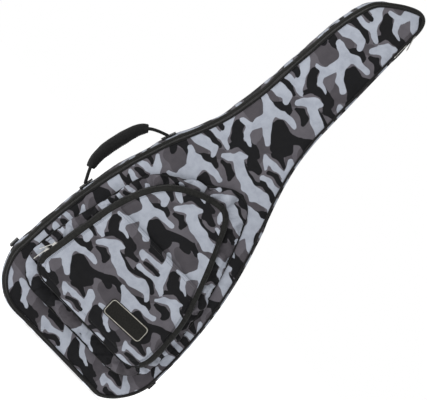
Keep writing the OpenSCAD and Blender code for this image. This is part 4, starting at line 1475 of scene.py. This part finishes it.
# ---- yoke where the straps start
yk = np.array([[-70, 588], [64, 588], [48, 676], [-54, 676]], float)
yb_ = resample(yk, 240, sig=3.0)
yv2, yf = cdt(yb_, 7.0)
yd = seg_dist(yv2, yb_)[0]
v = np.stack([yv2[:, 0], Y_BACK + 1.1 + 1.1 * expfall(yd, 6) + 0.25 * field(yv2, 40, 401) * expfall(yd, 8), yv2[:, 1]], 1)
ob = mesh_object("strap_yoke_panel", v, [yf[:, ::-1]], "strapface", np.stack([yv2[:, 0], yv2[:, 1], yv2[:, 0] * 0], 1))
solidify(ob, 1.6)
place(ob, "shell", ("strap_yoke",))
ed = np.stack([yb_[:, 0], np.full(len(yb_), Y_BACK + 1.2), yb_[:, 1]], 1)
place(sweep("yoke_binding", ed, rrect(3.6, 2.6, 1.1, 3), "tape", up=(0, 1, 0), closed=True), "shell")
v, f = join_parts([box_x(-38, 632, 40, 56, Y_BACK + 2.7, 0.12), box_x(32, 632, 40, 56, Y_BACK + 2.7, -0.12)])
place(mesh_object("yoke_stitches", v, [f], "thread"), "shell")

# ---- lower webbings, with a loose tail
for sgn, tag, xe in ((-1, "left", -182), (1, "right", -192)):
    c = resample(np.vstack([bez([-102, 246], [-106, 200], [-140, 165], [xe, 117], 50), [[xe, 117]]]), 60, closed=False)
    x = c[:, 0] if sgn < 0 else -6 - c[:, 0]
    s_ = np.linspace(0, 1, 60)
    y = Y_BACK + 2.1 + 1.6 * np.sin(math.pi * s_) ** 2 + 0.4 * np.sin(9 * s_ + sgn)
    pl = np.stack([x, y, c[:, 1]], 1)
    ob = sweep("lower_webbing_" + tag, pl, rrect(25, 1.8, 0.6, 2), "webbing", up=(0, 1, 0))
    place(ob, "shell", ("strap_webbing_" + tag,))
    bx = -101 if sgn < 0 else -6 + 101
    tl = np.array([[bx, Y_BACK + 8.6, 236], [bx + sgn * 1.0, Y_BACK + 7.4, 222], [bx + sgn * 3.5, Y_BACK + 5.4, 200], [bx + sgn * 7.5, Y_BACK + 5.0, 175], [bx + sgn * 9.0, Y_BACK + 6.4, 158]], float)
    tl = resample(tl, 40, closed=False)
    place(sweep("webbing_tail_" + tag, tl, rrect(24, 1.7, 0.6, 2), "webbing", up=(0, 1, 0)), "shell")

# ---- side handle: folded webbing through a padded grip
HX0, HZ0_ = -200.039, 303.0
HX1, HZ1_ = -151.607, 504.0
HY = 8.0
hp = np.array([[HX0 - 4, 302.5], [HX0 - 9.5, 313], [HX0 - 18, 327], [HX0 - 24.5, 343], [HX0 - 27.5, 362], [HX0 - 26.5, 389], [HX0 - 21.5, 417], [HX1 - 63.5, 446], [HX1 - 56, 470],
               [HX1 - 44, 484.5], [HX1 - 29, 494], [HX1 - 13, 500.5], [HX1 - 4.5, 503.5]])
hp = np.stack([np.convolve(np.pad(resample(hp, 170, closed=False)[:, k], 9, mode="edge"), np.ones(19) / 19, "valid") for k in (0, 1)], 1)
hp = np.vstack([[HX0 - 3.5, 302], hp, [HX1 - 3.5, 504]])
hp = resample(hp, 170, closed=False)
hp3 = np.stack([hp[:, 0], np.full(len(hp), HY) + 0.8 * np.sin(np.linspace(0, 5, len(hp))), hp[:, 1]], 1)
t_, s_, _ = frames(hp3, (0, 1, 0))
outv = np.cross(t_, np.array([0.0, 1.0, 0.0]))
outv /= np.linalg.norm(outv, axis=1)[:, None]
hob = sweep("handle_webbing", hp3, rrect(25, 6.4, 1.8, 3), "webbing", up=outv)
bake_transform(hob)
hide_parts("side_handle_webbing")
g0, g1 = 26, 138
gp = hp3[g0:g1]
gt = np.linspace(0, 1, len(gp))
prof_g = 0.60 + 0.42 * np.clip(np.sin(math.pi * gt), 0, 1) ** 0.5 + 0.012 * np.sin(gt * 23) + 0.008 * np.sin(gt * 41 + 1)
gsec = circle(15.2, 36, 15.2)
gob = sweep("handle_grip", gp, gsec, "grip", up=outv[g0:g1], scale=np.stack([prof_g * 1.04, prof_g * 0.94], 1))
place(gob, "side_handle", ("side_handle_grip",))
for k, nm in ((0, "lower"), (-1, "upper")):
    i = g0 + 3 if k == 0 else g1 - 4
    ring = hp3[i - 2:i + 3]
    place(sweep("grip_cuff_" + nm, ring, circle(10.4, 28, 10.0), "tape", up=outv[i - 2:i + 3]), "side_handle")
seam = gp[4:-4] - outv[g0:g1][4:-4] * (15.2 * 0.94 * prof_g[4:-4, None] + 0.1)
v, f = stitches(seam + np.array([0, 0.0, 0]), -outv[g0:g1][4:-4], 4.4, 3.2, 0.42, 0.2)
place(mesh_object("grip_seam", v, [f], "thread"), "side_handle")

# ---- hang loop at the back of the head
q = np.array([[53.0, 999.0], [56.5, 999.6], [70, 1003], [79, 1014], [80.5, 1027], [79, 1040], [70, 1051], [56.5, 1054.4], [53.0, 1055.0]])
q = resample(q, 70, closed=False)
l3 = np.stack([np.full(70, -8.0), q[:, 0], q[:, 1]], 1)
lt, ls_, _ = frames(l3, (1, 0, 0))
lob = sweep("hang_loop_webbing", l3, rrect(2.4, 18, 0.9, 3), "webbing", up=(1, 0, 0))
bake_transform(lob)
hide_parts("hang_loop")

# ---- box-and-cross stitching on the patches
parts = [box_x(-8, 999, 14, 12, cad("hang_loop_patches")[1][1] + 0.15), box_x(-8, 1055, 14, 12, cad("hang_loop_patches")[1][1] + 0.15)]
v, f = join_parts(parts)
place(mesh_object("loop_patch_stitches", v, [f], "thread"), "shell")

# ------------------------------------------------------- floor, light, camera


def camera_axes(yaw, roll):
    """View direction, image right and image up for a camera in front of the bag."""
    a, b = math.radians(yaw), math.radians(roll)
    fwd = np.array([math.sin(a), math.cos(a), 0.0])
    rx, up = np.array([math.cos(a), -math.sin(a), 0.0]), np.array([0.0, 0.0, 1.0])
    return fwd, math.sin(b) * up + math.cos(b) * rx, math.cos(b) * up - math.sin(b) * rx


FWD, RGT, UPV = camera_axes(7.0, 46.5)
AIM = np.array([0.0, 0.0, BAG_L / 2 * MM])
DIST = 5.2
EYE = AIM - FWD * DIST


PTS = []


def fit_camera():
    """The bag's extent in the camera's picture plane."""
    if not PTS:
        gather()
    w = PTS[0] - EYE
    dep = w @ FWD
    q = np.stack([w @ RGT / dep, w @ UPV / dep], 1)
    return q.min(0), q.max(0)


def gather():
    bpy.context.view_layer.update()
    dg = bpy.context.evaluated_depsgraph_get()
    out = []
    for o in list(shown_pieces()):
        ev = o.evaluated_get(dg)
        try:
            me = ev.to_mesh()
        except RuntimeError:
            continue
        n = len(me.vertices)
        if n:
            co = np.zeros(n * 3, np.float32)
            me.vertices.foreach_get("co", co)
            m = np.array(ev.matrix_world)
            out.append(co.reshape(-1, 3) @ m[:3, :3].T + m[:3, 3])
        ev.to_mesh_clear()
    PTS.append(np.vstack(out))


cam = bpy.data.cameras.new("camera")
cam_ob = bpy.data.objects.new("camera", cam)
SC.collection.objects.link(cam_ob)
FRAME_W, FRAME_H = 427.0, 400.0
X0, X1, Y0, Y1 = 1.5, 426.0, 1.0, 398.5            # where the bag sits in the photograph, in pixels
for _ in range(3):                                 # slide the camera until the bag is in the middle
    lo, hi = fit_camera()
    EYE = EYE + (RGT * (lo[0] + hi[0]) + UPV * (lo[1] + hi[1])) / 2 * DIST
lo, hi = fit_camera()
px = min((X1 - X0) / (hi[0] - lo[0]), (Y1 - Y0) / (hi[1] - lo[1]))
cam_ob.matrix_world = Matrix(((RGT[0], UPV[0], -FWD[0], EYE[0]), (RGT[1], UPV[1], -FWD[1], EYE[1]), (RGT[2], UPV[2], -FWD[2], EYE[2]), (0, 0, 0, 1)))
cam.sensor_fit = "HORIZONTAL"
cam.sensor_width = 36.0
cam.lens = px / FRAME_W * 36.0
cam.clip_end = 60.0
SC.camera = cam_ob

bpy.ops.mesh.primitive_plane_add(size=40, location=(0, 0, -0.0005))
floor = bpy.context.active_object
floor.name = "floor"
fm = bpy.data.materials.new("floor")
fm.use_nodes = True
fb = fm.node_tree.nodes["Principled BSDF"]
fb.inputs["Base Color"].default_value = (0.92, 0.92, 0.92, 1)
fb.inputs["Roughness"].default_value = 0.95
fb.inputs["Specular IOR Level"].default_value = 0.0
fb.inputs["Emission Color"].default_value = (1, 1, 1, 1)
fb.inputs["Emission Strength"].default_value = 0.8
floor.data.materials.append(fm)
floor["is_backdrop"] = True

world = bpy.data.worlds.new("world")
SC.world = world
world.use_nodes = True
bg = world.node_tree.nodes["Background"]
bg.inputs["Color"].default_value = (1, 1, 1, 1)
wt = world.node_tree
ray = wt.nodes.new("ShaderNodeLightPath")
mr = wt.nodes.new("ShaderNodeMapRange")
mr.inputs["To Min"].default_value = 0.38        # what lights the bag
mr.inputs["To Max"].default_value = 1.0         # what the camera sees behind it
wt.links.new(ray.outputs["Is Camera Ray"], mr.inputs["Value"])
wt.links.new(mr.outputs[0], bg.inputs["Strength"])


def area(name, loc, target, size, power):
    l = bpy.data.lights.new(name, "AREA")
    l.shape = "RECTANGLE"
    l.size, l.size_y = size
    l.energy = power
    o = bpy.data.objects.new(name, l)
    SC.collection.objects.link(o)
    d = Vector(target) - Vector(loc)
    o.matrix_world = Matrix.Translation(Vector(loc)) @ d.to_track_quat("-Z", "Y").to_matrix().to_4x4()
    return o


tgt = tuple(AIM)
area("key", (-1.9, -1.9, 1.9), tgt, (1.3, 1.3), 44.5)
area("fill", (2.2, -2.4, 0.6), tgt, (2.2, 2.2), 6)
area("rim", (0.6, 1.9, 2.3), tgt, (1.8, 1.2), 12)
SC.view_settings.view_transform = "Standard"
SC.view_settings.look = "None"

lo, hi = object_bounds()
